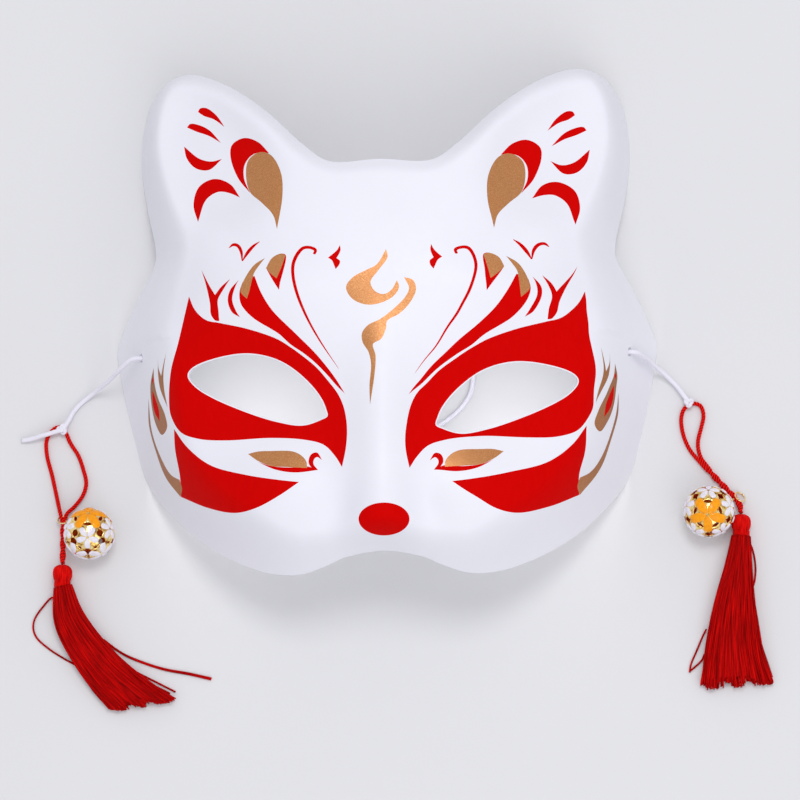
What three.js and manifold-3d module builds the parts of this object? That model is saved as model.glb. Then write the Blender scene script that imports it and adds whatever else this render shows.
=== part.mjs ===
// Half-face fox mask, vacuum-formed from white plastic sheet, lying face up on a table.
// A white elastic runs through its two side holes. A red loop with a bell and a tassel is tied
// to each end of the elastic. Millimetres. X runs across the face, Y towards the ears, Z up.

import * as THREE from 'three';
import { mergeVertices } from 'three/addons/utils/BufferGeometryUtils.js';
import Module from 'manifold-3d';

const wasm = await Module();
wasm.setup();

// Mask
const MASK_WIDTH = 176.8;
const MASK_LENGTH = 169;
const MASK_DEPTH = 60;  // up to the forehead, without the nose and the brow
const SHEET = 0.9;
const EYE_SHIFT = 1.7;

// Cords and the clearance of the elastic in its holes
const ELASTIC_DIAMETER = 1.5;
const HOLE_CLEARANCE = 0.75;
const LOOP_DIAMETER = 1.35;
const GAP = 0.3;

// Bells and the split rings that carry them
const BELL_DIAMETER = 16.5;
const BELL_WALL = 0.6;
const WINDOW_DIAMETER = 2.6;
const RING_WIRE = 0.6;
const RING_CLEARANCE = 0.5;

// Tassels
const HEAD_DIAMETER = 6.2;
const HEAD_LENGTH = 7.2;
const HEAD_PROFILE = [[0, 0], [0.62, 0], [0.94, 0.18], [1, 0.5], [0.92, 0.82], [0.86, 1], [0, 1]];

// How finely the solids are faceted
const RIM_STEPS = 2;
const RIM_SHARES = [0.18, 0.35, 0.5, 0.62, 0.72, 0.8, 0.87, 0.925, 0.97, 1];
const EDGE_STEPS = 3;
const CORD_SIDES = 8;
const RING_SIDES = 6;
const RING_STEPS = 16;
const WINDOW_SIDES = 5;
const HOLE_SIDES = 12;
const ELASTIC_STEPS = 66;
const LOOP_STEPS = 18;
const HEAD_SIDES = 14;
const SKIRT_STEPS = 3;
const SKIRT_SIDES = 12;
const WELD = 0.001;
const SLOPE_STEP = 0.2;

// The size at which the free form of the mask is drawn below
const DRAWN = { width: 176.8, length: 169, depth: 60 };
const STRETCH = {
  x: MASK_WIDTH / DRAWN.width,
  y: MASK_LENGTH / DRAWN.length,
  z: MASK_DEPTH / DRAWN.depth,
};

// Trimmed edge of the sheet, from the middle of the brow round one ear to the middle of the chin.
// Each point has x, y, height above the table and how far in the wall has rolled over into the face.
const RIM = [
  [0, 45.8, 54.5, 5], [16, 45.5, 53.5, 5], [24.4, 52.1, 48.5, 6], [36.1, 64.7, 41, 7],
  [47.8, 75, 32.5, 8], [59.7, 82.6, 22, 9], [66.5, 84.5, 15.5, 9], [73, 82.9, 9, 9],
  [77.6, 77.6, 4, 9], [80.2, 70, 1, 9], [81.1, 57.6, 0, 9], [78.7, 41.4, 3.5, 10],
  [75.6, 27.9, 9.5, 12], [75.5, 22.5, 10.5, 14], [80.4, 12.9, 8, 17], [85.9, 1.8, 4.5, 20],
  [88.4, -5.5, 2.5, 22], [87.7, -13.2, 1.6, 22], [84.7, -28, 0.4, 21], [81.1, -42.9, 0, 20],
  [76.6, -52.9, 3, 19], [67.7, -63.8, 11.5, 18], [58, -72.5, 20.5, 17], [46.3, -79.6, 29, 16],
  [35.5, -83.7, 35, 14], [26.6, -84.5, 39, 12], [18.4, -82.4, 42.5, 10], [12.1, -80, 45, 9],
  [0, -78.3, 47, 9],
];

// One eye hole, on the side of positive x, from the inner corner over the top and back.
const EYE_UPPER = [[16.9, -38.8], [19, -33.2], [24, -26.7], [32, -20.6], [42, -17.7], [53.3, -18.5]];
const EYE_OUTER = [[60.3, -20.7], [61.8, -22.6], [59.6, -26]];
const EYE_LOWER = [[55, -29.4], [43.7, -35.1], [32.5, -39.5], [24.5, -41.1], [16.9, -38.8]];

// Where the elastic goes through each side wall
const CORD_HOLE = [79, -11];

// Face without its walls: height at the middle and how it falls away to the sides and ends
const DOME = { top: 60, sideFall: 24, sideReach: 75, sidePower: 2.3 };
const EAR_END = { fall: 11, reach: 85, power: 2 };
const CHIN_END = { fall: 7, reach: 80, power: 2.4 };

// Soft mounds and hollows: place, height, half-width along and across, turn in degrees
const MOUNDS = [
  { name: 'brow', x: 0, y: 12, high: 2.2, wide: 46, tall: 24, turn: 0 },
  { name: 'cheek', x: 31, y: -63, high: 5.5, wide: 19, tall: 15, turn: -14 },
  { name: 'brow bone', x: 46, y: 2, high: 2.4, wide: 24, tall: 9, turn: -8 },
  { name: 'ear edge', x: 43, y: 63, high: 2.2, wide: 19, tall: 7, turn: 52 },
];
const HOLLOWS = [
  { name: 'eye socket', x: 37, y: -27, deep: 6.5, wide: 23, tall: 13, turn: 8 },
  { name: 'temple', x: 66, y: 14, deep: 3, wide: 9, tall: 20, turn: 10 },
  { name: 'nostril side', x: 13, y: -66, deep: 2.4, wide: 6, tall: 9, turn: 24 },
];
const EAR_DISH = { x: 54, y: 52, deep: 6, wide: 17, tall: 25, turn: -24 };
const NOSE = { start: 4, end: -62, high: 9.5, root: 7.5, tip: 12 };

// A smooth curve through points of any dimension, spaced by the square root of their distance
function throughPoints(points, steps, closed) {
  const count = points.length;
  const spans = closed ? count : count - 1;
  const at = (i) => {
    if (closed) return points[(i + count) % count];
    if (i < 0) return points[0].map((v, k) => 2 * v - points[1][k]);
    if (i >= count) return points[count - 1].map((v, k) => 2 * v - points[count - 2][k]);
    return points[i];
  };
  const apart = (a, b) => Math.sqrt(Math.hypot(a[0] - b[0], a[1] - b[1], (a[2] ?? 0) - (b[2] ?? 0)));
  const mix = (a, b, ta, tb, t) => a.map((v, k) => (v * (tb - t) + b[k] * (t - ta)) / (tb - ta));
  const out = [];
  for (let span = 0; span < spans; span += 1) {
    const p = [at(span - 1), at(span), at(span + 1), at(span + 2)];
    const t = [0];
    for (let k = 1; k < 4; k += 1) t.push(t[k - 1] + apart(p[k - 1], p[k]));
    for (let step = 0; step < steps; step += 1) {
      const now = t[1] + ((t[2] - t[1]) * step) / steps;
      const a = [0, 1, 2].map((k) => mix(p[k], p[k + 1], t[k], t[k + 1], now));
      const b = [0, 1].map((k) => mix(a[k], a[k + 1], t[k], t[k + 2], now));
      out.push(mix(b[0], b[1], t[1], t[2], now));
    }
  }
  if (!closed) out.push(points[count - 1]);
  return out;
}

function stretched([x, y, z, roll]) {
  return [x * STRETCH.x, y * STRETCH.y, z * STRETCH.z, roll];
}

function rimCurve(steps) {
  const mirrored = RIM.slice(1, -1).reverse().map(([x, y, z, roll]) => [-x, y, z, roll]);
  return throughPoints([...RIM, ...mirrored], steps, true).map(stretched);
}

const FINE_RIM = rimCurve(6);

// Nearest point of the rim: signed distance, positive inside, with the height and roll there
function nearestRim(x, y) {
  let best = { distance: Infinity };
  let inside = false;
  FINE_RIM.forEach((a, i) => {
    const b = FINE_RIM[(i + 1) % FINE_RIM.length];
    const along = [b[0] - a[0], b[1] - a[1]];
    const share = ((x - a[0]) * along[0] + (y - a[1]) * along[1]) / (along[0] ** 2 + along[1] ** 2);
    const s = Math.min(1, Math.max(0, share));
    const distance = Math.hypot(x - a[0] - s * along[0], y - a[1] - s * along[1]);
    if (distance < best.distance) {
      best = { distance, height: a[2] + s * (b[2] - a[2]), roll: a[3] + s * (b[3] - a[3]) };
    }
    const crosses = (a[1] > y) !== (b[1] > y);
    if (crosses && x < a[0] + (along[0] * (y - a[1])) / along[1]) inside = !inside;
  });
  return { ...best, distance: inside ? best.distance : -best.distance };
}

// Squared distance from a form's middle in units of its half-widths
function reach(form, x, y) {
  const turn = THREE.MathUtils.degToRad(form.turn);
  const dx = x - form.x;
  const dy = y - form.y;
  const u = (dx * Math.cos(turn) + dy * Math.sin(turn)) / form.wide;
  const v = (dy * Math.cos(turn) - dx * Math.sin(turn)) / form.tall;
  return u * u + v * v;
}

// Height of the face before its edge rolls down: dome, mounds, hollows, nose and ear dishes
function faceHeight(px, py) {
  const x = Math.abs(px) / STRETCH.x;
  const y = py / STRETCH.y;
  let height = DOME.top - DOME.sideFall * (x / DOME.sideReach) ** DOME.sidePower;
  const end = y > 0 ? EAR_END : CHIN_END;
  height -= end.fall * (Math.abs(y) / end.reach) ** end.power;
  for (const form of MOUNDS) height += form.high * bothSides(form, x, y, (q) => Math.exp(-q));
  for (const form of HOLLOWS) height -= form.deep * bothSides(form, x, y, (q) => Math.exp(-q));
  height -= EAR_DISH.deep * Math.exp(-(reach(EAR_DISH, x, y) ** 2));
  const along = Math.min(1, Math.max(0, (NOSE.start - y) / (NOSE.start - NOSE.end)));
  const width = NOSE.root + (NOSE.tip - NOSE.root) * along;
  const rise = NOSE.high * along * along * (3 - 2 * along);
  height += rise * Math.exp(-((x / width) ** 2));
  return height * STRETCH.z;
}

// A form off the middle has its mirror image on the other side, so the two meet smoothly
function bothSides(form, x, y, shape) {
  const own = shape(reach(form, x, y));
  return form.x === 0 ? own : own + shape(reach(form, -x, y));
}

// Outer surface of the mask: a quarter sine wave from the trimmed edge up to the face
function surface(x, y) {
  const rim = nearestRim(x, y);
  const rolled = Math.min(1, rim.distance / rim.roll);
  const lift = Math.sin((rolled * Math.PI) / 2);
  return rim.height + (faceHeight(x, y) - rim.height) * lift;
}

function surfaceNormal(x, y) {
  const step = SLOPE_STEP;
  const slopeX = (surface(x + step, y) - surface(x - step, y)) / (2 * step);
  const slopeY = (surface(x, y + step) - surface(x, y - step)) / (2 * step);
  return new THREE.Vector3(-slopeX, -slopeY, 1).normalize();
}

function indexed(positions, triangles) {
  const geometry = new THREE.BufferGeometry();
  geometry.setAttribute('position', new THREE.Float32BufferAttribute(positions, 3));
  geometry.setIndex(triangles);
  return geometry;
}

function bareCopy(geometry) {
  const bare = geometry.clone();
  bare.deleteAttribute('normal');
  bare.deleteAttribute('uv');
  return bare;
}

function toSolid(geometry) {
  const merged = mergeVertices(bareCopy(geometry), WELD);
  const vertProperties = new Float32Array(merged.attributes.position.array);
  const triVerts = new Uint32Array(merged.index.array);
  return new wasm.Manifold(new wasm.Mesh({ numProp: 3, vertProperties, triVerts }));
}

function fromSolid(solid) {
  const mesh = solid.getMesh();
  return indexed(Array.from(mesh.vertProperties), Array.from(mesh.triVerts));
}

// Closed sheet: an outer and an inner skin in rings round the middle, joined along the rim
function sheetGeometry() {
  const rim = rimCurve(RIM_STEPS);
  const outer = [[0, 0]];
  for (const share of RIM_SHARES) rim.forEach(([x, y]) => outer.push([x * share, y * share]));
  const positions = [];
  outer.forEach(([x, y]) => positions.push(x, y, surface(x, y)));
  outer.forEach(([x, y]) => {
    const inward = surfaceNormal(x, y).multiplyScalar(-SHEET);
    positions.push(x + inward.x, y + inward.y, Math.max(0, surface(x, y) + inward.z));
  });
  const around = rim.length;
  const under = outer.length;
  const triangles = [];
  const both = (a, b, c) => triangles.push(a, b, c, under + a, under + c, under + b);
  for (let i = 0; i < around; i += 1) {
    const next = (i + 1) % around;
    both(0, 1 + next, 1 + i);
    for (let ring = 0; ring < RIM_SHARES.length - 1; ring += 1) {
      const near = 1 + ring * around;
      const far = near + around;
      both(near + i, near + next, far + next);
      both(near + i, far + next, far + i);
    }
    const edge = 1 + (RIM_SHARES.length - 1) * around;
    triangles.push(edge + i, edge + next, under + edge + next);
    triangles.push(edge + i, under + edge + next, under + edge + i);
  }
  return indexed(positions, triangles);
}

function eyeCutter(side) {
  const runs = [EYE_UPPER, EYE_OUTER, EYE_LOWER].flat().slice(0, -1);
  const first = runs[0];
  const loop = throughPoints([...runs, first], EDGE_STEPS, false).slice(0, -1);
  const shift = -side * EYE_SHIFT;
  const points = loop.map(([x, y]) => new THREE.Vector2(side * x * STRETCH.x, y * STRETCH.y + shift));
  const shape = new THREE.Shape(points);
  return new THREE.ExtrudeGeometry(shape, { depth: 2 * MASK_DEPTH, bevelEnabled: false });
}

function holeCutter(side) {
  const [x, y] = [side * CORD_HOLE[0] * STRETCH.x, CORD_HOLE[1] * STRETCH.y];
  const radius = ELASTIC_DIAMETER / 2 + HOLE_CLEARANCE;
  const cutter = new THREE.CylinderGeometry(radius, radius, 10 * SHEET, HOLE_SIDES);
  cutter.rotateZ(Math.PI / 2);
  cutter.translate(x, y, surface(x, y));
  return cutter;
}

function maskShell() {
  let solid = toSolid(sheetGeometry());
  for (const side of [-1, 1]) {
    solid = solid.subtract(toSolid(eyeCutter(side)));
    solid = solid.subtract(toSolid(holeCutter(side)));
  }
  return fromSolid(solid);
}

function cordTube(points, diameter, steps) {
  const route = points.map(([x, y, z]) => new THREE.Vector3(x, y, z));
  const path = new THREE.CatmullRomCurve3(route, false, 'centripetal');
  const section = new THREE.Shape();
  section.absarc(0, 0, diameter / 2, 0, 2 * Math.PI, false);
  const options = { steps, extrudePath: path, bevelEnabled: false, curveSegments: CORD_SIDES / 2 };
  return new THREE.ExtrudeGeometry(section, options);
}

// Route of the elastic, from its free tail on one side through both holes to the other knot
const ELASTIC_ROUTE = [
  [-120.2, -34.4, 0.9], [-116.6, -33.9, 1.7], [-113, -33, 2.8], [-109.7, -32.1, 2.9],
  [-106.7, -31, 2.9], [-104.6, -28, 2.5], [-103, -24.8, 1.3], [-100.4, -21.9, 0.9],
  [-96.5, -19.2, 2.4],
  [-91.3, -16.7, 9], [-85.7, -13.4, 17], [-82, -11.2, 19.8], [-79, -11, 20],
  [-76, -11.1, 19.7], [-73.4, -12.4, 16.5], [-72.4, -16, 9], [-71.3, -21.5, 3.2],
  [-68.5, -29, 1.2], [-61, -36, 0.9], [-49, -40.5, 0.9], [-35, -41.5, 0.9],
  [-20, -40, 0.9], [-5, -38, 0.9], [8, -35.2, 0.9], [16.5, -31.3, 0.9],
  [23.6, -26, 0.9], [27.3, -20.5, 0.9], [29, -12.5, 0.9], [33, -4, 0.9],
  [42, 2, 0.9], [54, 3, 0.9], [63.5, -0.8, 2], [70, -6.2, 8],
  [73.2, -9.8, 16], [76, -10.9, 19.6], [79, -11, 20], [81.4, -11.2, 19.5],
  [83, -11.8, 17], [86.0, -12.5, 9.5], [91.0, -15.5, 3.4],
  [95.0, -19.4, 2], [97.2, -22.6, 2.5], [98.9, -25.0, 2.6],
];

// The two hanging sets. Places are measured from the top of the tassel's head, on the table.
// Each loop starts and ends in the head, runs through the ring and passes under the elastic.
const LEFT_SET = {
  head: [-106.2, -75.8],
  bell: [9.3, 9.3],
  ring: { x: 0, y: 14.8, turn: 0 },
  loop: [
    [-0.85, 0.4, 3.1], [-0.9, 5.1, 2.4], [-0.85, 10, 2.2], [-0.82, 14.8, 2.4],
    [-1.1, 17.5, 1.9], [-2.1, 21.6, 1.1], [-3.9, 29.6, 0.8], [-5.7, 36.6, 0.8], [-5.8, 41.6, 0.8],
    [-3.7, 45, 0.8], [-1.7, 45.8, 0.8], [0.2, 44.2, 0.8], [2, 40.4, 0.8],
    [4.7, 36.1, 0.8], [6.3, 31.6, 0.8], [7.3, 27.1, 0.8], [6.3, 23.1, 0.9],
    [3.7, 19.4, 1.3], [1.2, 16.8, 2], [0.82, 14.8, 2.4], [0.85, 10, 2.2],
    [0.9, 5.1, 2.4],
    [0.85, 0.4, 3.1],
  ],
  skirt: [
    { x: 0.2, y: 0, wide: 6.4, high: 6.2 }, { x: 2.4, y: -10.4, wide: 10.4, high: 6.6 },
    { x: 8.1, y: -20.4, wide: 12.6, high: 6 }, { x: 15.9, y: -29.9, wide: 15, high: 4.8 },
    { x: 26.5, y: -39.4, wide: 20.5, high: 3.4 },
  ],
};
const RIGHT_SET = {
  head: [114.7, -61.9],
  bell: [-10.6, 0.2],
  ring: { x: -1.5, y: 5.65, turn: 43 },
  loop: [
    [-0.85, 0.5, 3.1], [-1, 2.5, 2.6], [-2.1, 5.1, 2.3], [-5.5, 8.9, 1.3],
    [-8.7, 12.8, 0.8], [-12.3, 16.9, 0.8], [-15.9, 21.7, 0.8], [-17.9, 26.6, 0.8],
    [-18.5, 31.8, 0.8], [-17.5, 35.2, 0.8], [-14.9, 37, 0.8], [-12.2, 36.2, 0.8],
    [-11.2, 33.1, 0.8], [-12, 29, 0.8], [-12.9, 25, 0.8], [-12.8, 21.9, 0.8],
    [-11.3, 18.8, 0.8], [-8.9, 15.9, 0.8], [-5.7, 12.2, 0.9], [-3.1, 9.2, 1.4],
    [-0.9, 6.2, 2.3], [0.7, 3.1, 2.6], [0.85, 0.5, 3.1],
  ],
  skirt: [
    { x: 0, y: 0, wide: 6.4, high: 6.2 }, { x: -1, y: -9.3, wide: 9, high: 6.6 },
    { x: -2.6, y: -23.8, wide: 14.5, high: 6 }, { x: -2.5, y: -36.8, wide: 19.5, high: 4.8 },
    { x: -1.8, y: -49.1, wide: 23.3, high: 3.4 },
  ],
};

// Hollow ball with a window at each of the twenty corners of its twelve plates
function bellGeometry() {
  const outer = new THREE.IcosahedronGeometry(BELL_DIAMETER / 2, 2);
  const inner = new THREE.IcosahedronGeometry(BELL_DIAMETER / 2 - BELL_WALL, 1);
  let solid = toSolid(outer).subtract(toSolid(inner));
  const corners = mergeVertices(bareCopy(new THREE.DodecahedronGeometry(BELL_DIAMETER / 2)), WELD);
  const place = corners.attributes.position;
  const radius = WINDOW_DIAMETER / 2;
  for (let i = 0; i < place.count; i += 1) {
    const corner = new THREE.Vector3().fromBufferAttribute(place, i);
    const window = new THREE.CylinderGeometry(radius, radius, 4 * BELL_WALL, WINDOW_SIDES);
    const outward = corner.clone().normalize();
    window.applyQuaternion(new THREE.Quaternion().setFromUnitVectors(new THREE.Vector3(0, 1, 0), outward));
    window.translate(corner.x, corner.y, corner.z);
    solid = solid.subtract(toSolid(window));
  }
  return fromSolid(solid);
}

// Ring round the two strands of a loop, standing on the table
function ringRadius() {
  return LOOP_DIAMETER + RING_CLEARANCE + RING_WIRE / 2;
}

function ringGeometry() {
  return new THREE.TorusGeometry(ringRadius(), RING_WIRE / 2, RING_SIDES, RING_STEPS);
}

// Barrel that binds the top of the threads, lying along y with its flat top face at y = 0.
// Its profile is in shares of the radius and of the length.
function headGeometry() {
  const radius = HEAD_DIAMETER / 2;
  const points = HEAD_PROFILE.map(([r, along]) => new THREE.Vector2(r * radius, along * HEAD_LENGTH));
  const barrel = new THREE.LatheGeometry(points, HEAD_SIDES);
  barrel.rotateX(Math.PI);
  return barrel;
}

// Bundle of threads: oval sections along a bent middle line, lying on the table
function skirtGeometry(stations) {
  const around = SKIRT_SIDES;
  const line = throughPoints(stations.map(({ x, y, wide, high }) => [x, y, 0, wide, high]), SKIRT_STEPS, false);
  const positions = [];
  line.forEach(([x, y, , wide, high], i) => {
    const before = line[Math.max(0, i - 1)];
    const after = line[Math.min(line.length - 1, i + 1)];
    const along = new THREE.Vector2(after[0] - before[0], after[1] - before[1]).normalize();
    if (i === 0) along.set(0, -1);
    for (let k = 0; k < around; k += 1) {
      const angle = (2 * Math.PI * k) / around;
      const across = (Math.cos(angle) * wide) / 2;
      const up = ((1 + Math.sin(angle)) * high) / 2;
      positions.push(x - along.y * across, y + along.x * across, up);
    }
  });
  const triangles = [];
  for (let i = 0; i < line.length - 1; i += 1) {
    for (let k = 0; k < around; k += 1) {
      const next = (k + 1) % around;
      const a = i * around;
      const b = a + around;
      triangles.push(a + k, a + next, b + next, a + k, b + next, b + k);
    }
  }
  const last = (line.length - 1) * around;
  for (let k = 1; k < around - 1; k += 1) {
    triangles.push(0, k + 1, k, last, last + k, last + k + 1);
  }
  return indexed(positions, triangles);
}

function piece(name, geometry, color, roughness, metalness) {
  const mesh = new THREE.Mesh(geometry, new THREE.MeshStandardMaterial({ color, roughness, metalness }));
  mesh.name = name;
  return mesh;
}

// Loop, ring, bell and tassel of one side, placed from the top of the tassel's head
function hangingSet(name, set) {
  const group = new THREE.Group();
  group.position.set(set.head[0], set.head[1], 0);
  const loop = piece(`loop_cord_${name}`, cordTube(set.loop, LOOP_DIAMETER, LOOP_STEPS), 0xb81418, 0.7, 0);
  const ring = piece(`split_ring_${name}`, ringGeometry(), 0xd9a441, 0.25, 1);
  ring.rotation.set(Math.PI / 2, THREE.MathUtils.degToRad(set.ring.turn), 0);
  ring.position.set(set.ring.x, set.ring.y, ringRadius() + RING_WIRE / 2);
  const bell = piece(`bell_${name}`, bellGeometry(), 0xdba53a, 0.22, 1);
  bell.position.set(set.bell[0], set.bell[1], BELL_DIAMETER / 2);
  const head = piece(`tassel_head_${name}`, headGeometry(), 0xc01014, 0.6, 0);
  head.position.set(0, 0, HEAD_DIAMETER / 2);
  const skirt = piece(`tassel_skirt_${name}`, skirtGeometry(set.skirt), 0xc81018, 0.5, 0);
  skirt.position.set(0, -HEAD_LENGTH - GAP, 0);
  group.add(loop, ring, bell, head, skirt);
  return group;
}

const mask = new THREE.Group();
mask.add(piece('mask_shell', maskShell(), 0xf0f0f6, 0.35, 0));
mask.add(piece('elastic_cord', cordTube(ELASTIC_ROUTE, ELASTIC_DIAMETER, ELASTIC_STEPS), 0xece9f4, 0.7, 0));
mask.add(hangingSet('left', LEFT_SET));
mask.add(hangingSet('right', RIGHT_SET));

export default mask;
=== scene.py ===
import math

import bpy
import numpy as np
from mathutils import Matrix
from mathutils.geometry import delaunay_2d_cdt


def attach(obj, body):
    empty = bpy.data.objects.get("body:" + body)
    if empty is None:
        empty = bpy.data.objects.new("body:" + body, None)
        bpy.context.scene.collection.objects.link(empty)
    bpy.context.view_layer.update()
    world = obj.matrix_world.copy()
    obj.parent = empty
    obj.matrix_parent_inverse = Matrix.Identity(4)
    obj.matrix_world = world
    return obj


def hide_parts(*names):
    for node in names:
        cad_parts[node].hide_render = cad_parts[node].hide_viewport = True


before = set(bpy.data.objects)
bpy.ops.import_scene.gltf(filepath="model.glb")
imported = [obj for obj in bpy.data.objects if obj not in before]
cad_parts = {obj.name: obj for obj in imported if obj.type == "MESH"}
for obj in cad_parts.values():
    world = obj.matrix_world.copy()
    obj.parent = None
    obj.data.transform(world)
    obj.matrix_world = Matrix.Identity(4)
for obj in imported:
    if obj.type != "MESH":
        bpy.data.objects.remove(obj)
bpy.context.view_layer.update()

# Shapes are worked out in millimetres in the model's own frame and written in metres.
MM = 0.001
UPWARD = np.array([0.0, 0.0, 1.0])

# The camera: its angles in degrees, the point of the model in the middle of the picture,
# and the size of one pixel of the 800 by 800 picture at that point.
VIEW_HEIGHT = 80.0
VIEW_TURN = 1.63
VIEW_ROLL = 0.46
VIEW_DISTANCE = 1150.0
VIEW_MIDDLE = np.array([5.03, -27.57, 30.0])
PIXEL = 0.320
PICTURE = 800
FILM = 36.0

# Sheet, cords, bells, rings and tassels, at the sizes of the model
SHEET = 0.9
EYE_SHIFT = 1.7
ELASTIC_DIAMETER = 1.5
HOLE_CLEARANCE = 0.75
LOOP_DIAMETER = 1.35
PLIES, PLY_PITCH = 3, 2.9
PAIR_PITCH, PAIR_OFFSET = 8.0, 0.42
BELL_DIAMETER = 16.5
BELL_WALL = 0.6
RING_WIRE = 0.5
RING_RADIUS = 1.85
RING_LEAN = 45.0
LEFT_BELL_TILT = 57.0
RIGHT_BELL_LEAN = (0.13, 0.05)
BELL_EYE_RADIUS = 0.85
BELL_EYE_STAND = 0.55
HEAD_DIAMETER = 6.2
HEAD_LENGTH = 7.2
WRAP_PITCH = 0.42
THREADS = 280
THREAD_ROWS = 44
THREAD_RADIUS = 0.25
THREAD_LIFT = 0.26
STRAY_RADIUS = 0.31
STRAY_HEIGHT = 0.4

# Trimmed edge of the sheet, half of it: x, y, height and how far in the wall has rolled over
RIM = [
    [0, 45.8, 54.5, 5], [16, 45.5, 53.5, 5], [24.4, 52.1, 48.5, 6], [36.1, 64.7, 41, 7],
    [47.8, 75, 32.5, 8], [59.7, 82.6, 22, 9], [66.5, 84.5, 15.5, 9], [73, 82.9, 9, 9],
    [77.6, 77.6, 4, 9], [80.2, 70, 1, 9], [81.1, 57.6, 0, 9], [78.7, 41.4, 3.5, 10],
    [75.6, 27.9, 9.5, 12], [75.5, 22.5, 10.5, 14], [80.4, 12.9, 8, 17], [85.9, 1.8, 4.5, 20],
    [88.4, -5.5, 2.5, 22], [87.7, -13.2, 1.6, 22], [84.7, -28, 0.4, 21], [81.1, -42.9, 0, 20],
    [76.6, -52.9, 3, 19], [67.7, -63.8, 11.5, 18], [58, -72.5, 20.5, 17], [46.3, -79.6, 29, 16],
    [35.5, -83.7, 35, 14], [26.6, -84.5, 39, 12], [18.4, -82.4, 42.5, 10], [12.1, -80, 45, 9],
    [0, -78.3, 47, 9],
]

# One eye hole on the side of positive x, from the inner corner over the top and back
EYE_HOLE = [
    [16.9, -38.8], [19, -33.2], [24, -26.7], [32, -20.6], [42, -17.7], [53.3, -18.5],
    [60.3, -20.7], [61.8, -22.6], [59.6, -26],
    [55, -29.4], [43.7, -35.1], [32.5, -39.5], [24.5, -41.1], [16.9, -38.8],
]
# The side hole, and the range of x in which its edge is looked for
CORD_HOLE = [79.0, -11.0, 20.0]
HOLE_SEARCH = (70.0, 87.0)
# A search on the surface starts at this height and halves its step this many times
MIDDLE_HEIGHT, HALVINGS = 45.0, 30

# The face without its walls: a dome, soft mounds and hollows, dishes in the ears and the nose
DOME_TOP, SIDE_FALL, SIDE_REACH, SIDE_POWER = 60.0, 24.0, 75.0, 2.3
EAR_FALL, EAR_REACH, CHIN_FALL, CHIN_REACH, CHIN_POWER = 11.0, 85.0, 7.0, 80.0, 2.4
FORMS = [
    # x, y, height, half-width, half-length, turn in degrees
    [0, 12, 2.2, 46, 24, 0],
    [31, -63, 5.5, 19, 15, -14],
    [46, 2, 2.4, 24, 9, -8],
    [43, 63, 2.2, 19, 7, 52],
    [37, -27, -6.5, 23, 13, 8],
    [66, 14, -3, 9, 20, 10],
    [13, -66, -2.4, 6, 9, 24],
]
EAR_DISH = [54, 52, -6, 17, 25, -24]
NOSE_START, NOSE_END, NOSE_HIGH, NOSE_ROOT, NOSE_TIP = 4.0, -62.0, 9.5, 7.5, 12.0

# Route of the elastic, from its free tail on one side through both holes to the other knot
ELASTIC_ROUTE = [
    [-120.2, -34.4, 0.9], [-116.6, -33.9, 1.7], [-113, -33, 2.8], [-109.7, -32.1, 2.9],
    [-106.7, -31, 2.9], [-104.6, -28, 2.5], [-103, -24.8, 1.3], [-100.4, -21.9, 0.9],
    [-96.5, -19.2, 2.4],
    [-91.3, -16.7, 9], [-85.7, -13.4, 17], [-82, -11.2, 19.8], [-79, -11, 20],
    [-76, -11.1, 19.7], [-73.4, -12.4, 16.5], [-72.4, -16, 9], [-71.3, -21.5, 3.2],
    [-68.5, -29, 1.2], [-61, -36, 0.9], [-49, -40.5, 0.9], [-35, -41.5, 0.9],
    [-20, -40, 0.9], [-5, -38, 0.9], [8, -35.2, 0.9], [16.5, -31.3, 0.9],
    [23.6, -26, 0.9], [27.3, -20.5, 0.9], [29, -12.5, 0.9], [33, -4, 0.9],
    [42, 2, 0.9], [54, 3, 0.9], [63.5, -0.8, 2], [70, -6.2, 8],
    [73.2, -9.8, 16], [76, -10.9, 19.6], [79, -11, 20], [81.4, -11.2, 19.5],
    [83, -11.8, 17], [86, -12.5, 9.5], [91, -15.5, 3.4],
    [95, -19.4, 2], [97.2, -22.6, 2.5], [98.9, -25, 2.6],
]
# The knots of the elastic: their middle, size and turn in radians
ELASTIC_KNOTS = {
    "left": ([-106.7, -31.0, 2.9], 1.4, 0.5),
    "right": ([98.7, -24.8, 2.6], 1.2, 2.1),
}

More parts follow.
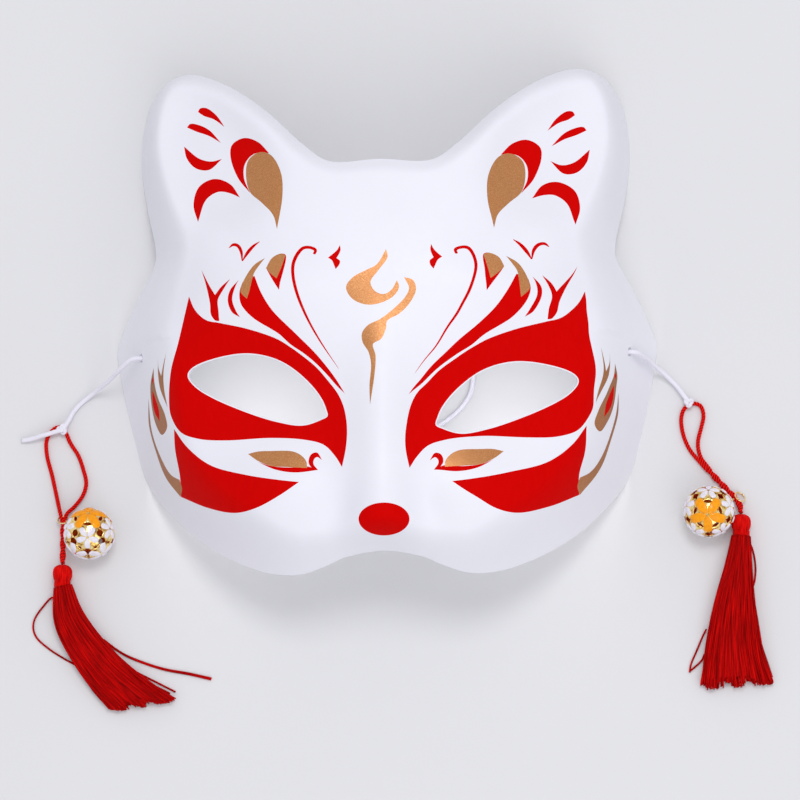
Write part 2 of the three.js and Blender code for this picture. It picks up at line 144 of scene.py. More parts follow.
# The two hanging sets, measured from the top of the tassel's head on the table. The doubled
# stretch of a loop runs along "pair", and the open stretch along "open". Skirts are rows of x, y,
# width and height. Strays, loose threads beside the skirts, are in pixels of the picture.
LEFT_SET = {
    "head": [-106.2, -75.8, 0.0],
    "bell": [9.3, 9.3, 8.25],
    "ring": [0.0, 14.8, 1.75],
    "ring_turn": 0.0,
    "pair": [[0, 0.4, 3.1], [0, 3, 2.5], [0, 5.1, 2.2], [0, 10, 1.9], [0, 14.8, 1.8]],
    "open": [
        [-1.1, 17.5, 1.9], [-2.1, 21.6, 1.1], [-3.9, 29.6, 0.8], [-5.7, 36.6, 0.8],
        [-5.8, 41.6, 0.8], [-3.7, 45, 0.8], [-1.7, 45.8, 0.8], [0.2, 44.2, 0.8],
        [2, 40.4, 0.8], [4.7, 36.1, 0.8], [6.3, 31.6, 0.8], [7.3, 27.1, 0.8],
        [6.3, 23.1, 0.9], [3.7, 19.4, 1.3], [1.2, 16.8, 2],
    ],
    "skirt": [
        [0.2, 0, 6.4, 6.2], [2.4, -10.4, 10.4, 6.6], [8.1, -20.4, 12.6, 6],
        [15.9, -29.9, 15, 4.8], [26.5, -39.4, 21.5, 3.4],
    ],
    "cut": [0.987, 0.157],
    "clump": 1.4,
    "seed": 11,
    "strays": [
        [(58, 600), (52.2, 597.8), (42.2, 607.8), (34.4, 620), (33.3, 628.9), (36.7, 637.8),
         (48.9, 648.9), (64.4, 658.9), (74.4, 664.4)],
        [(104, 640), (115.6, 648.9), (126.7, 655.6), (144.4, 662.7), (164.4, 668.9), (188.9, 673.3),
         (211.6, 678.4)],
        [(106, 643), (116.5, 650), (127.5, 656.6), (145, 663.8), (165, 670), (189.5, 674.6), (211, 679.6)],
        [(112, 655), (124, 665), (138, 673), (154, 681), (175.5, 692)],
        [(111, 657), (124, 668), (138, 677), (152, 684.5), (170, 693.5)],
    ],
}
RIGHT_SET = {
    "head": [114.7, -61.9, 0.0],
    "bell": [-10.6, 0.2, 8.25],
    "ring": [0.0, 5.8, 1.75],
    "ring_turn": 43.0,
    "pair": [
        [0, 0.5, 3.1], [-0.15, 2.8, 2.4], [-1.6, 5.3, 1.9], [-4.7, 8.9, 1.4],
        [-7.9, 12.4, 1.4], [-10.4, 15.4, 1.4],
    ],
    "open": [
        [-12.9, 17.8, 0.9], [-15.9, 21.7, 0.8], [-17.9, 26.6, 0.8], [-18.5, 32.1, 0.8],
        [-17.5, 35.2, 0.8], [-14.9, 37, 0.8], [-12.2, 36.3, 0.8], [-11.2, 33.1, 0.8],
        [-11.9, 29.5, 0.8], [-13.1, 25, 0.8], [-13.2, 22.3, 0.8], [-12.3, 18.9, 0.9],
    ],
    "skirt": [
        [0, 0, 6.4, 6.2], [-1, -9.3, 9, 6.6], [-2.7, -23.8, 14.3, 6],
        [-3.3, -36.8, 18.6, 4.8], [-2.8, -49.1, 24, 3.4],
    ],
    "cut": [0.997, 0.07],
    "clump": 0.8,
    "seed": 23,
    "strays": [
        [(747, 542), (750.7, 545.2), (754.4, 557.5), (755.6, 569.7), (754.4, 581.9), (751.9, 589.3),
         (750, 594)],
        [(706, 630), (703, 635.7), (696.9, 650.4), (690.8, 665), (689.6, 672.4)],
        [(704, 655), (701.8, 660.2), (694.4, 667.5), (690, 671)],
    ],
}

# Flat paint: outlines in pixels of the 800 by 800 picture, for the side of negative x.
# Every run is one smooth curve. The second and later ones start where the run before them ends,
# and two runs meet in a sharp corner.
RED_PAINT = {
    "eye patch": [
        [(189, 296.5), (195, 310), (206, 320), (220, 323), (248, 329), (276, 338.5), (290, 346.8),
         (304, 357), (316, 367), (327, 379.5), (338, 394), (344, 408), (347, 427), (346, 447), (342, 467)],
        [(335, 456), (324, 445), (306, 440), (271, 438), (226, 440.5), (199, 439), (181, 432.5), (171, 416),
         (169, 400), (171, 370), (178, 343.5), (184, 318), (189, 296.5)],
    ],
    "cheek patch": [
        [(174, 429), (187, 447), (210, 465), (244, 474.5), (280, 480), (299, 482)],
        [(280, 495), (256, 508), (235, 513), (208, 508), (181, 497)],
        [(180, 477), (175, 449), (174, 429)],
    ],
    "under leaf": [
        [(258, 462), (275, 469.5), (295, 472.5), (318, 470)],
        [(308, 466.5), (290, 467.5), (271, 466), (258, 462)],
    ],
    "inner hook": [
        [(318, 470), (311, 467), (308.5, 462), (311, 454.5), (317, 452.5), (322, 460)],
        [(317, 457), (314, 459.5), (313.5, 464), (318, 470)],
    ],
    "long flame": [
        [(254.4, 275.8), (261, 292.4), (272.2, 310.2), (294.4, 332.4), (316.7, 354.7), (334.4, 376.9),
         (344.9, 393.6)],
        [(337, 386), (326, 373.5), (315, 362.5), (304, 353.5), (290, 344), (279, 334), (252, 317),
         (241, 304), (239.5, 292), (243, 281)],
    ],
    "drop": [
        [(266, 268), (272, 258), (281, 253.5), (285.6, 254.7), (286, 259), (283, 272), (280, 283),
         (279, 290)],
        [(272, 279), (266, 268)],
    ],
    "heart": [
        [(340, 245), (337, 250), (332, 254.5), (328, 257.6)],
        [(332, 260.5), (334, 265), (335.6, 269)],
        [(339, 265), (340, 261), (336.5, 258)],
        [(339, 254), (340.5, 250), (340, 245)],
    ],
    "forked stroke": [
        [(201.5, 270), (209, 285), (215, 295)],
        [(221, 287), (230, 279)],
        [(223, 290), (217.8, 300.2), (218.4, 310.2), (219.3, 320.9)],
        [(215.6, 320.7), (211, 314.7), (210, 303.6), (206, 285), (201.5, 270)],
    ],
    "thin crescent": [
        [(238.9, 279.8), (230, 290.2), (227.8, 301.3), (232.2, 312.4), (240, 317.3)],
        [(235.6, 310.2), (232.2, 299.1), (235.6, 285.8), (238.9, 279.8)],
    ],
    "ear stroke 1": [
        [(198, 112), (200, 108.5), (206, 108), (216, 115), (224.5, 127)],
        [(214, 119.5), (204, 116), (198, 112)],
    ],
    "ear stroke 2": [
        [(187, 127.5), (190, 124), (197, 124.5), (209, 130), (221, 143)],
        [(209, 136), (196, 131.5), (187, 127.5)],
    ],
    "ear stroke 3": [
        [(184, 146.5), (187, 159), (196, 168.5), (209, 170), (222, 159)],
        [(211, 161.5), (199, 158.5), (184, 146.5)],
    ],
    "ear stroke 4": [
        [(198, 222), (193.5, 205), (199, 187), (214, 179), (230, 184), (240, 197.5)],
        [(229, 193), (218, 192), (206, 200), (198, 222)],
    ],
    "ear crescent": [
        [(269, 153), (258, 142), (244, 138), (232, 145), (230.5, 157), (238, 178), (250, 193)],
        [(244, 178), (245, 164), (254, 154), (269, 153)],
    ],
}
GOLD_PAINT = {
    "leaf": [
        [(248, 454), (258, 451.5), (270, 451), (293, 451.5), (302, 456), (306.5, 462), (307, 468)],
        [(286, 467), (271, 466), (258, 461), (248, 454)],
    ],
    "flame tip": [
        [(264.9, 258), (254.4, 264.7), (245.6, 276.9), (240.7, 288), (240.7, 292.4), (246.7, 298.7)],
        [(248.9, 292.4), (252.2, 279.1), (254.4, 272.4), (258.9, 265.8), (264.9, 258)],
    ],
    "drop tip": [
        [(266, 268), (272, 258), (281, 253.6), (285.6, 255)],
        [(281, 268), (276.5, 278.3)],
        [(270, 273), (266, 268)],
    ],
    "ear drop": [
        [(277, 229), (273, 215), (262, 203), (250, 192), (246, 175), (248, 161), (255, 154), (263, 152),
         (272, 156), (281, 173), (282.5, 195), (277, 229)],
    ],
    "side fork": [
        [(166, 353), (163, 366), (161.2, 376)],
        [(158.5, 368), (158, 358.5)],
        [(158, 372), (160, 388), (167.5, 407.5)],
        [(164, 388), (163.5, 372), (166, 353)],
    ],
    "side drop": [
        [(153.5, 368), (150.5, 385), (151.5, 405), (156, 425), (162, 435), (167, 428), (165, 415),
         (158, 398), (154.5, 383), (153.5, 368)],
    ],
    "side sweep": [
        [(148.5, 398), (149, 425), (156, 452), (166, 478), (180.5, 497)],
        [(182, 489), (179.5, 480)],
        [(171, 475), (162, 460), (152, 432), (148.5, 398)],
    ],
}
RED_ON_GOLD = {
    "side drop core": [
        [(152.4, 390), (152.6, 402), (155, 413), (159.6, 421.5)],
        [(158.8, 410), (155.5, 399), (152.4, 390)],
    ],
    "side drop dot": [[(152.8, 377), (153.3, 380.5), (152.6, 384.5)], [(151.9, 380.5), (152.8, 377)]],
}
# Brush strokes: a middle line and the stroke's width at each of its points
RED_BRUSH = {
    "curl": (
        [(314, 254.2), (315.5, 250.2), (310, 247.5), (303.3, 248), (297.8, 253.5), (293.3, 263.5),
         (292.9, 274.7), (296.7, 292.4), (305.6, 314.7), (318.9, 339.1), (338.9, 369.1)],
        [2.5, 3.0, 3.0, 3.2, 3.4, 3.4, 3.2, 3.0, 2.4, 1.6, 0.3],
    ),
    "left wing": ([(228.7, 248.2), (233.3, 244.7), (237.8, 245.8), (241.1, 251.3), (242.2, 261.3)],
                  [0.4, 2.8, 3.2, 3.0, 0.8]),
    "right wing": ([(242.2, 261.3), (247.8, 252.4), (253.5, 246), (260, 241.3)], [0.8, 3.2, 2.6, 0.4]),
}
# The painter's hand: where a mirrored stroke would lie in the picture, and how far from there
# the stroke on the right lies, in pixels
DRIFT = np.array([
    (421, 245, 12, -0.4), (432.2, 256.1, 10.3, 0), (424, 267, 8.5, 1.3), (452.2, 244.6, 11.5, 2),
    (425.3, 368, -8.4, 5.6), (575.3, 292.6, 9.5, 0), (561.5, 267, 16.4, 1.3), (533.9, 276.8, 10.3, 0),
    (544.7, 315, 3.3, 3), (525, 277.8, 8.7, 0), (523.7, 311.3, 1.3, 3.7), (496.9, 256.3, 9.7, 0.5),
    (480.3, 250.4, 7.7, 2.1), (482, 285.5, 4.7, 3.3), (502, 238.4, 12.3, 1.1), (519.9, 256.8, 12.8, 2.6),
    (533.4, 241.5, 17.9, 3.8), (419, 392.3, -9, 1.3), (597.8, 403.8, -3.8, 0), (602.2, 350, -0.5, 0),
    (609.9, 357, 0.1, 0), (602.2, 399.2, -6.4, 2.5), (615.7, 363.7, -0.7, 3), (608, 428.8, -9, 2.6),
    (622.6, 393.6, -4.3, 0), (593.6, 425, -7.7, 2.1), (465.8, 480, -12.8, 1.3), (532.2, 508.9, -14, 3.5),
    (589.7, 491, -11.5, 3), (516, 450, -13.2, 0.6), (456.8, 464.7, -11.5, 0), (442.8, 455.2, -11.5, 2.6),
    (556, 125, 9, 9), (566, 160, 9, 9.5), (552, 205, 9, 9.5), (500, 190, 9, 4), (522, 160, 9, 5),
    (452, 330, -4.2, 4), (470, 310, 0.6, 3.6), (575, 320, 6, 0), (590, 340, 2, 0), (500, 335, 0, 4),
])
DRIFT_REACH = 17.0
# Forehead and nose paint isn't mirrored
GOLD_FOREHEAD = {
    "flame": [
        [(386, 249), (387.5, 257), (378.5, 270), (370.5, 282), (375, 291), (384, 294), (392, 289),
         (397, 280)],
        [(399, 287), (393.5, 296), (380, 303), (366, 304.5), (352, 298.5), (346, 287), (353, 277),
         (366, 270), (377, 264), (386, 249)],
    ],
    "tail": [
        [(404, 277), (413, 280), (416, 289), (411, 301), (400, 313), (387, 321), (386, 328), (381, 339),
         (373, 344), (375.5, 355), (375, 370), (370, 405)],
        [(369.5, 385), (371, 364), (368.5, 352), (362.5, 342), (362, 333), (368, 325), (380, 319),
         (392, 310), (405, 297), (409, 288), (404, 277)],
    ],
}
NOSE_SPOT = {"middle": (384, 519), "width": 51, "height": 33}


def unit(vectors):
    """Vectors scaled to length one."""
    return vectors / np.linalg.norm(vectors, axis=-1, keepdims=True)


def through_points(points, steps, closed=False):
    """A centripetal Catmull-Rom curve: each span blends three lines through four neighbouring
    points, with knots spaced by the square root of the distance between the points."""
    points = np.asarray(points, float)
    if closed:
        row = np.concatenate([points[-1:], points, points[:2]])
    else:
        row = np.concatenate([2 * points[:1] - points[1:2], points, 2 * points[-1:] - points[-2:-1]])
    p = [row[:-3], row[1:-2], row[2:-1], row[3:]]
    knots = [np.zeros(len(p[0]))]
    for a, b in zip(p, p[1:]):
        knots.append(knots[-1] + np.sqrt(np.linalg.norm((b - a)[:, :3], axis=1)))
    t = [knot[:, None, None] for knot in knots]
    now = t[1] + (t[2] - t[1]) * (np.arange(steps) / steps)[None, :, None]

    def mix(a, b, start, end):
        return (a * (end - now) + b * (now - start)) / (end - start)

    p = [corner[:, None, :] for corner in p]
    first = [mix(p[k], p[k + 1], t[k], t[k + 1]) for k in range(3)]
    second = [mix(first[k], first[k + 1], t[k], t[k + 2]) for k in range(2)]
    curve = mix(second[0], second[1], t[1], t[2]).reshape(-1, points.shape[1])
    return curve if closed else np.concatenate([curve, points[-1:]])


def circle(count):
    """Angles of evenly spaced points once round, in radians."""
    return 2 * math.pi * np.arange(count) / count


def eased(share):
    """A share from nought to one with a soft start and end: its square times three minus twice it."""
    return share ** 2 * (3 - 2 * share)


def side_by_side(*columns):
    """Coordinates from arrays that are first stretched to one common shape."""
    return np.stack(np.broadcast_arrays(*columns), axis=-1)


def run_length(points):
    """Distance along a polyline at each of its points."""
    steps = np.linalg.norm(np.diff(points, axis=-2), axis=-1)
    start = np.zeros(steps.shape[:-1] + (1,))
    return np.concatenate([start, np.cumsum(steps, axis=-1)], axis=-1)


def evenly(points, spacing):
    """The polyline with its points spread evenly, about the given spacing apart."""
    along = run_length(points)
    count = max(2, int(round(along[-1] / spacing)) + 1)
    at = np.linspace(0, along[-1], count)
    return np.stack([np.interp(at, along, column) for column in points.T], axis=1)


# The surface of the mask

# The whole trimmed edge: the half and its mirror image
FINE_RIM = through_points(np.concatenate([RIM, np.array(RIM[-2:0:-1]) * [-1, 1, 1, 1]]), 10, closed=True)


def inside(points, loop):
    """Whether each point lies in a closed outline, by the even-odd rule."""
    result = np.zeros(len(points), bool)
    near = np.flatnonzero(np.all((points >= loop.min(0)) & (points <= loop.max(0)), axis=1))
    a, b = loop, np.roll(loop, -1, axis=0)
    rise = np.where(b[:, 1] == a[:, 1], 1, b[:, 1] - a[:, 1])
    for part in np.array_split(near, len(near) // 8000 + 1):
        x, y = points[part, 0][:, None], points[part, 1][:, None]
        crosses = (a[:, 1] > y) != (b[:, 1] > y)
        left = x < a[:, 0] + (b[:, 0] - a[:, 0]) * (y - a[:, 1]) / rise
        result[part] = (crosses & left).sum(1) % 2 == 1
    return result


def nearest_rim(points):
    """Distance to the trimmed edge, with the edge's height and roll at the nearest place."""
    a, b = FINE_RIM, np.roll(FINE_RIM, -1, axis=0)
    along = (b - a)[:, :2]
    square = (along ** 2).sum(1)
    result = np.empty((len(points), 3))
    for part in np.array_split(np.arange(len(points)), len(points) // 3000 + 1):
        away = points[part][:, None, :] - a[None, :, :2]
        share = np.clip((away * along).sum(-1) / square, 0, 1)
        apart = np.hypot(away[..., 0] - share * along[:, 0], away[..., 1] - share * along[:, 1])
        best = apart.argmin(1)
        row = np.arange(len(part))
        s = share[row, best][:, None]
        result[part, 0] = apart[row, best]
        result[part, 1:] = a[best, 2:] + s * (b[best, 2:] - a[best, 2:])
    return result.T


def reach(form, x, y):
    """Squared distance from a form's middle in units of its half-widths."""
    turn = math.radians(form[5])
    dx, dy = x - form[0], y - form[1]
    u = (dx * math.cos(turn) + dy * math.sin(turn)) / form[3]
    v = (dy * math.cos(turn) - dx * math.sin(turn)) / form[4]
    return u * u + v * v


def face_height(x, y):
    """Height of the face before its edge rolls down: a dome that falls away to the sides, the
    ears and the chin, bell-shaped mounds and hollows on both sides, ear dishes and the nose."""
    x = np.abs(x)
    height = DOME_TOP - SIDE_FALL * (x / SIDE_REACH) ** SIDE_POWER
    height = height - EAR_FALL * (np.maximum(y, 0) / EAR_REACH) ** 2
    height = height - CHIN_FALL * (np.maximum(-y, 0) / CHIN_REACH) ** CHIN_POWER
    for form in FORMS:
        height = height + form[2] * np.exp(-reach(form, x, y))
        if form[0]:
            height = height + form[2] * np.exp(-reach(form, -x, y))
    height = height + EAR_DISH[2] * np.exp(-reach(EAR_DISH, x, y) ** 2)
    along = np.clip((NOSE_START - y) / (NOSE_START - NOSE_END), 0, 1)
    width = NOSE_ROOT + (NOSE_TIP - NOSE_ROOT) * along
    return height + NOSE_HIGH * eased(along) * np.exp(-(x / width) ** 2)


def surface(points):
    """Outer surface of the mask: a quarter sine wave from the trimmed edge up to the face."""
    distance, height, roll = nearest_rim(points)
    lift = np.sin(np.minimum(1, distance / roll) * math.pi / 2)
    return height + (face_height(points[:, 0], points[:, 1]) - height) * lift


def surface_normal(points):
    """Unit normal of the outer surface, from its rise over a short step each way."""
    step = 0.15
    slope_x = surface(points + [step, 0]) - surface(points - [step, 0])
    slope_y = surface(points + [0, step]) - surface(points - [0, step])
    return unit(np.stack([-slope_x, -slope_y, np.full(len(points), 2 * step)], axis=1))


# The camera

def camera_axes():
    """Right, up and back of the camera, from its height, turn and roll."""
    height, turn, roll = (math.radians(a) for a in (VIEW_HEIGHT, VIEW_TURN, VIEW_ROLL))
    back = unit(np.array([math.tan(turn), -math.cos(height) / math.sin(height), 1.0]))
    right = unit(np.cross([math.sin(roll), math.cos(roll), 0.0], back))
    return right, np.cross(back, right), back


RIGHT, UP, BACK = camera_axes()
EYE_POINT = VIEW_MIDDLE + BACK * VIEW_DISTANCE
FOCUS = VIEW_DISTANCE / PIXEL


def in_scene(name, data):
    """A new object of the scene, at the origin, from a mesh, a lamp or a camera."""
    item = bpy.data.objects.new(name, data)
    bpy.context.scene.collection.objects.link(item)
    return item


def aim_at(item, right, back, place):
    """Puts a camera or a lamp at a place in metres, looking away from its back."""
    columns = np.eye(4)
    columns[:3, :3] = np.stack([right, np.cross(back, right), back], axis=1)
    columns[:3, 3] = place
    item.matrix_world = Matrix(columns.tolist())


def place_camera():
    """The camera at its place, with the lens that gives a pixel its size at the middle."""
    camera = in_scene("camera", bpy.data.cameras.new("camera"))
    aim_at(camera, RIGHT, BACK, EYE_POINT * MM)
    camera.data.sensor_fit = "HORIZONTAL"
    camera.data.sensor_width = FILM
    camera.data.lens = FOCUS * FILM / PICTURE
    camera.data.clip_start, camera.data.clip_end = 0.05, 20
    bpy.context.scene.camera = camera


def rays(pixels):
    """Directions of the camera's rays through points of the picture."""
    across, down = (np.asarray(pixels, float).T[..., None] - PICTURE / 2) / FOCUS
    return RIGHT * across - UP * down - BACK


def on_table(pixels, height):
    """Points of the picture carried along the camera's rays to a height above the table, which
    may be one height or one for each point."""
    ray = rays(pixels)
    return EYE_POINT + ray * (np.reshape(height, (-1, 1)) - EYE_POINT[2]) / ray[:, 2:]


def carried(pixels):
    """Points of the picture carried along the camera's rays on to the mask, as x and y."""
    height = np.full(len(pixels), MIDDLE_HEIGHT)
    for _ in range(HALVINGS):
        place = on_table(pixels, height)[:, :2]
        height = 0.5 * height + 0.5 * surface(place)
    return place


def seen(places):
    """Points of the mask, as x and y, where they lie in the picture."""
    away = np.column_stack([places, surface(places)]) - EYE_POINT
    across, above, depth = away @ RIGHT, away @ UP, -(away @ BACK)
    return PICTURE / 2 + FOCUS * np.stack([across, -above], axis=1) / depth[:, None]


# Meshes

# The order of a quad's corners that turns it to face the other way
OTHER_WAY = [0, 3, 2, 1]


def make_piece(name, points, faces, finishes, slot, stands_for=(), finish_of=None, lengths=None):
    """A mesh object at the origin from points in millimetres and lists of faces. finish_of
    gives each face's finish, and lengths each point's distance along and around, in metres."""
    mesh = bpy.data.meshes.new(name)
    mesh.from_pydata((points * MM).tolist(), [], sum((part.tolist() for part in faces), []))
    for finish in finishes:
        mesh.materials.append(finish)
    if finish_of is not None:
        mesh.polygons.foreach_set("material_index", np.asarray(finish_of, np.int32))
    if lengths is not None:
        corner = np.empty(len(mesh.loops), np.int32)
        mesh.loops.foreach_get("vertex_index", corner)
        mesh.uv_layers.new(name="lengths").data.foreach_set("uv", lengths[corner].ravel())
    mesh.shade_smooth()
    piece = in_scene(name, mesh)
    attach(piece, "root")
    if stands_for:
        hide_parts(*stands_for)
    return piece


def sharpen(piece, pairs):
    """Marks the edges between the given pairs of points as sharp."""
    mesh = piece.data
    ends = np.empty(2 * len(mesh.edges), np.int32)
    mesh.edges.foreach_get("vertices", ends)
    count = len(mesh.vertices)
    key = np.sort(ends.reshape(-1, 2), axis=1) @ [count, 1]
    wanted = np.sort(pairs, axis=1) @ [count, 1]
    mesh.edges.foreach_set("use_edge_sharp", np.isin(key, wanted))


def grid_faces(rows, columns, loop=False, copies=1):
    """Quads between the sections of a tube and triangles that cap its two ends. In a loop the
    last section joins the first, with no caps. Several equal tubes may follow each other."""
    start = (np.arange(copies) * rows * columns)[:, None, None]
    row = np.arange(rows if loop else rows - 1)[:, None]
    here = np.arange(columns)
    near, far, after = start + row * columns, start + (row + 1) % rows * columns, (here + 1) % columns
    quads = np.stack([near + here, near + after, far + after, far + here], axis=-1).reshape(-1, 4)
    fan = np.stack([0 * here, here + 1, here], axis=1)[1:-1]
    caps = (start + np.concatenate([fan, fan[:, ::-1] + (rows - 1) * columns])).reshape(-1, 3)
    return quads, caps[:0] if loop else caps


def tubes(paths, radius, around, loop=False, relief=None):
    """Round tubes along several paths of equal count of points. Each section lies square to its
    path; relief multiplies the radius by a function of distance along and angle. Returns
    points, quads, caps and the lengths along and around."""
    if loop:
        tangent = unit(np.roll(paths, -1, axis=1) - np.roll(paths, 1, axis=1))
    else:
        tangent = unit(np.gradient(paths, axis=1))
    side = unit(np.cross(tangent, UPWARD))
    below = np.cross(tangent, side)
    along = run_length(paths)[..., None]
    angle = circle(around)
    size = radius * (relief(along, angle) if relief else np.ones(around))
    outward = np.cos(angle)[:, None] * below[:, :, None] - np.sin(angle)[:, None] * side[:, :, None]
    points = paths[:, :, None] + size[..., None] * outward
    lengths = side_by_side(along, angle * radius).reshape(-1, 2) * MM
    return points.reshape(-1, 3), *grid_faces(paths.shape[1], around, loop, len(paths)), lengths


def joined(*shapes):
    """Several shapes, each points with lists of faces, as one."""
    points, faces, offset = [], [], 0
    for shape_points, *shape_faces in shapes:
        points.append(shape_points)
        faces.extend(part + offset for part in shape_faces)
        offset += len(shape_points)
    return np.concatenate(points), faces


def torus(middle, axis, radius, wire, around=48, section=16):
    """Ring of round wire: a circle of the wire carried round a circle square to the axis."""
    axis = unit(np.asarray(axis, float))
    across = unit(np.cross(axis, UPWARD))
    turn = circle(around)[:, None, None]
    angle = circle(section)[:, None]
    outward = np.cos(turn) * across + np.sin(turn) * np.cross(axis, across)
    points = middle + outward * (radius + wire / 2 * np.cos(angle)) + axis * (wire / 2 * np.sin(angle))
    return points.reshape(-1, 3), [grid_faces(around, section, loop=True)[0][:, OTHER_WAY]]


def make_thread(name, tube, finish, slot, stands_for=()):
    """A piece of cord or thread from a tube's points, quads, caps and lengths."""
    points, quads, caps, lengths = tube
    return make_piece(name, points, [quads, caps], [finish], slot, stands_for, lengths=lengths)


# Finishes

class Finish:
    """A procedural material: one shader with nodes for its colour, roughness and relief."""

    def __init__(self, name, color, roughness, **sockets):
        self.material = bpy.data.materials.new(name)
        self.material.use_nodes = True
        self.material.diffuse_color = (*color, 1)
        self.tree = self.material.node_tree
        self.shader = self.tree.nodes["Principled BSDF"].inputs
        self.shader["Base Color"].default_value = (*color, 1)
        self.shader["Roughness"].default_value = roughness
        for socket, value in sockets.items():
            self.shader[socket.replace("_", " ")].default_value = value
        self.raised = {}

    def add(self, kind, output, inputs, **settings):
        """A node with its inputs linked or set. Gives one of its outputs."""
        node = self.tree.nodes.new(kind)
        for key, value in settings.items():
            setattr(node, key, value)
        for key, value in inputs.items():
            if isinstance(value, bpy.types.NodeSocket):
                self.tree.links.new(value, node.inputs[key])
            else:
                node.inputs[key].default_value = value
        return node.outputs[output]

    def place(self, stretch=(1, 1, 1), turn=(0, 0, 0), along=False):
        """Object coordinates, or the piece's own lengths along and around."""
        source = self.add("ShaderNodeTexCoord", "UV" if along else "Object", {})
        return self.add("ShaderNodeMapping", "Vector", {
            "Vector": source, "Scale": stretch, "Rotation": turn})

    def noise(self, scale, detail=2.0, rough=0.5, place=None):
        """Fractal noise from nought to one, its scale in waves a metre."""
        return self.add("ShaderNodeTexNoise", "Fac", {
            "Vector": place or self.place(), "Scale": scale, "Detail": detail, "Roughness": rough})

    def spread(self, value, low, high, start=0.0, end=1.0):
        """The value carried from the range low..high to start..end."""
        return self.add("ShaderNodeMapRange", "Result", {
            "Value": value, "From Min": low, "From Max": high, "To Min": start, "To Max": end})

    def math(self, operation, a, b=0.0):
        """One sum on one or two values."""
        return self.add("ShaderNodeMath", "Value", {0: a, 1: b}, operation=operation)

    def shade(self, value, *stops):
        """Colour along a ramp, from stops of a place and a colour, on to the base colour."""
        tone = self.add("ShaderNodeValToRGB", "Color", {"Fac": value})
        row = tone.node.color_ramp.elements
        row[0].position, row[-1].position = stops[0][0], stops[-1][0]
        for place, _ in stops[1:-1]:
            row.new(place)
        for element, (_, color) in zip(row, stops):
            element.color = (*color, 1)
        self.tree.links.new(tone, self.shader["Base Color"])

    def winding(self):
        """Nought in the grooves of the twisted cord and one on its plies, from the piece's own
        lengths along and around."""
        along = self.add("ShaderNodeSeparateXYZ", "X", {"Vector": self.place(along=True)})
        around = self.math("MULTIPLY", along.node.outputs["Y"], PLIES / (LOOP_DIAMETER * MM))
        along = self.math("MULTIPLY", along, math.pi * PLIES / (PLY_PITCH * MM))
        return self.math("ABSOLUTE", self.math("COSINE", self.math("SUBTRACT", around, along)))

    def gloss(self, value, low, high):
        """Roughness from low to high as the value goes from 0.3 to 0.7."""
        self.tree.links.new(self.spread(value, 0.3, 0.7, low, high), self.shader["Roughness"])

    def relief(self, value, depth):
        """Adds a relief of the given depth in millimetres on top of those before it."""
        inputs = {"Height": value, "Distance": depth * MM, "Strength": 1.0, **self.raised}
        self.raised["Normal"] = self.add("ShaderNodeBump", "Normal", inputs)
        self.tree.links.new(self.raised["Normal"], self.shader["Normal"])


def white_sheet():
    """White vacuum-formed plastic: soft unevenness from the mould, fine grain, satin gloss."""
    finish = Finish("white_sheet", (0.8, 0.8, 0.85), 0.45, Specular_IOR_Level=0.35)
    waves = finish.noise(38, 3, 0.5)
    grain = finish.noise(2600, 2, 0.6)
    finish.shade(waves, (0.3, (0.795, 0.792, 0.85)), (0.7, (0.815, 0.812, 0.87)))
    finish.gloss(finish.noise(420, 4, 0.6), 0.4, 0.52)
    finish.relief(waves, 0.06)
    finish.relief(grain, 0.006)
    return finish.material


def red_paint():
    """Opaque red lacquer with faint streaks from the screen and fine grain."""
    finish = Finish("red_paint", (0.6, 0.0005, 0.0003), 0.6, Specular_IOR_Level=0.02)
    streaks = finish.noise(700, 3, 0.6, finish.place((1, 0.3, 1), (0, 0, 0.5)))
    finish.shade(streaks, (0.25, (0.585, 0.0005, 0.0003)), (0.75, (0.62, 0.001, 0.0005)))
    finish.gloss(finish.noise(500, 3, 0.6), 0.5, 0.62)
    finish.relief(finish.noise(2400, 2, 0.6), 0.006)
    return finish.material


def gold_paint():
    """Gold flake paint: brown-gold lacquer with fine bright flakes, and painted shade that darkens it on the
    side walls.
    """
    finish = Finish("gold_paint", (0.5, 0.2, 0.06), 0.4, Metallic=0.5)
    flakes = finish.noise(5600, 2, 0.7)
    # Painted shade and reflection: the gold is made darker on the side walls, from 60 to 78 mm out from the
    # middle in x.
    across = finish.add("ShaderNodeSeparateXYZ", "X", {"Vector": finish.place()})
    beside = finish.spread(finish.math("ABSOLUTE", across), 0.06, 0.078, 0.0, 0.3)
    finish.shade(finish.math("SUBTRACT", flakes, beside), (0.1, (0.2, 0.07, 0.022)),
                 (0.32, (0.38, 0.14, 0.04)), (0.5, (0.5, 0.2, 0.062)), (0.72, (0.8, 0.42, 0.18)))
    finish.gloss(finish.noise(1800, 3, 0.6), 0.34, 0.46)
    finish.relief(flakes, 0.01)
    return finish.material


def elastic_white():
    """White elastic: a fine braided cover of crossing threads, with painted shade in the hollows between
    them.
    """
    finish = Finish("elastic_white", (0.83, 0.81, 0.9), 0.5, Sheen_Weight=0.3)
    threads = [finish.add("ShaderNodeTexWave", "Fac", {
        "Vector": finish.place((1, 1, 1), (0, 0, way), along=True), "Scale": 900.0}) for way in (0.9, -0.9)]
    braid = finish.math("MAXIMUM", *threads)
    # Painted shade: the colour darkens where the braid is low, between the threads.
    finish.shade(braid, (0.2, (0.7, 0.68, 0.78)), (0.8, (0.86, 0.84, 0.92)))
    finish.gloss(finish.noise(900, 3), 0.42, 0.6)
    finish.relief(braid, 0.05)
    return finish.material


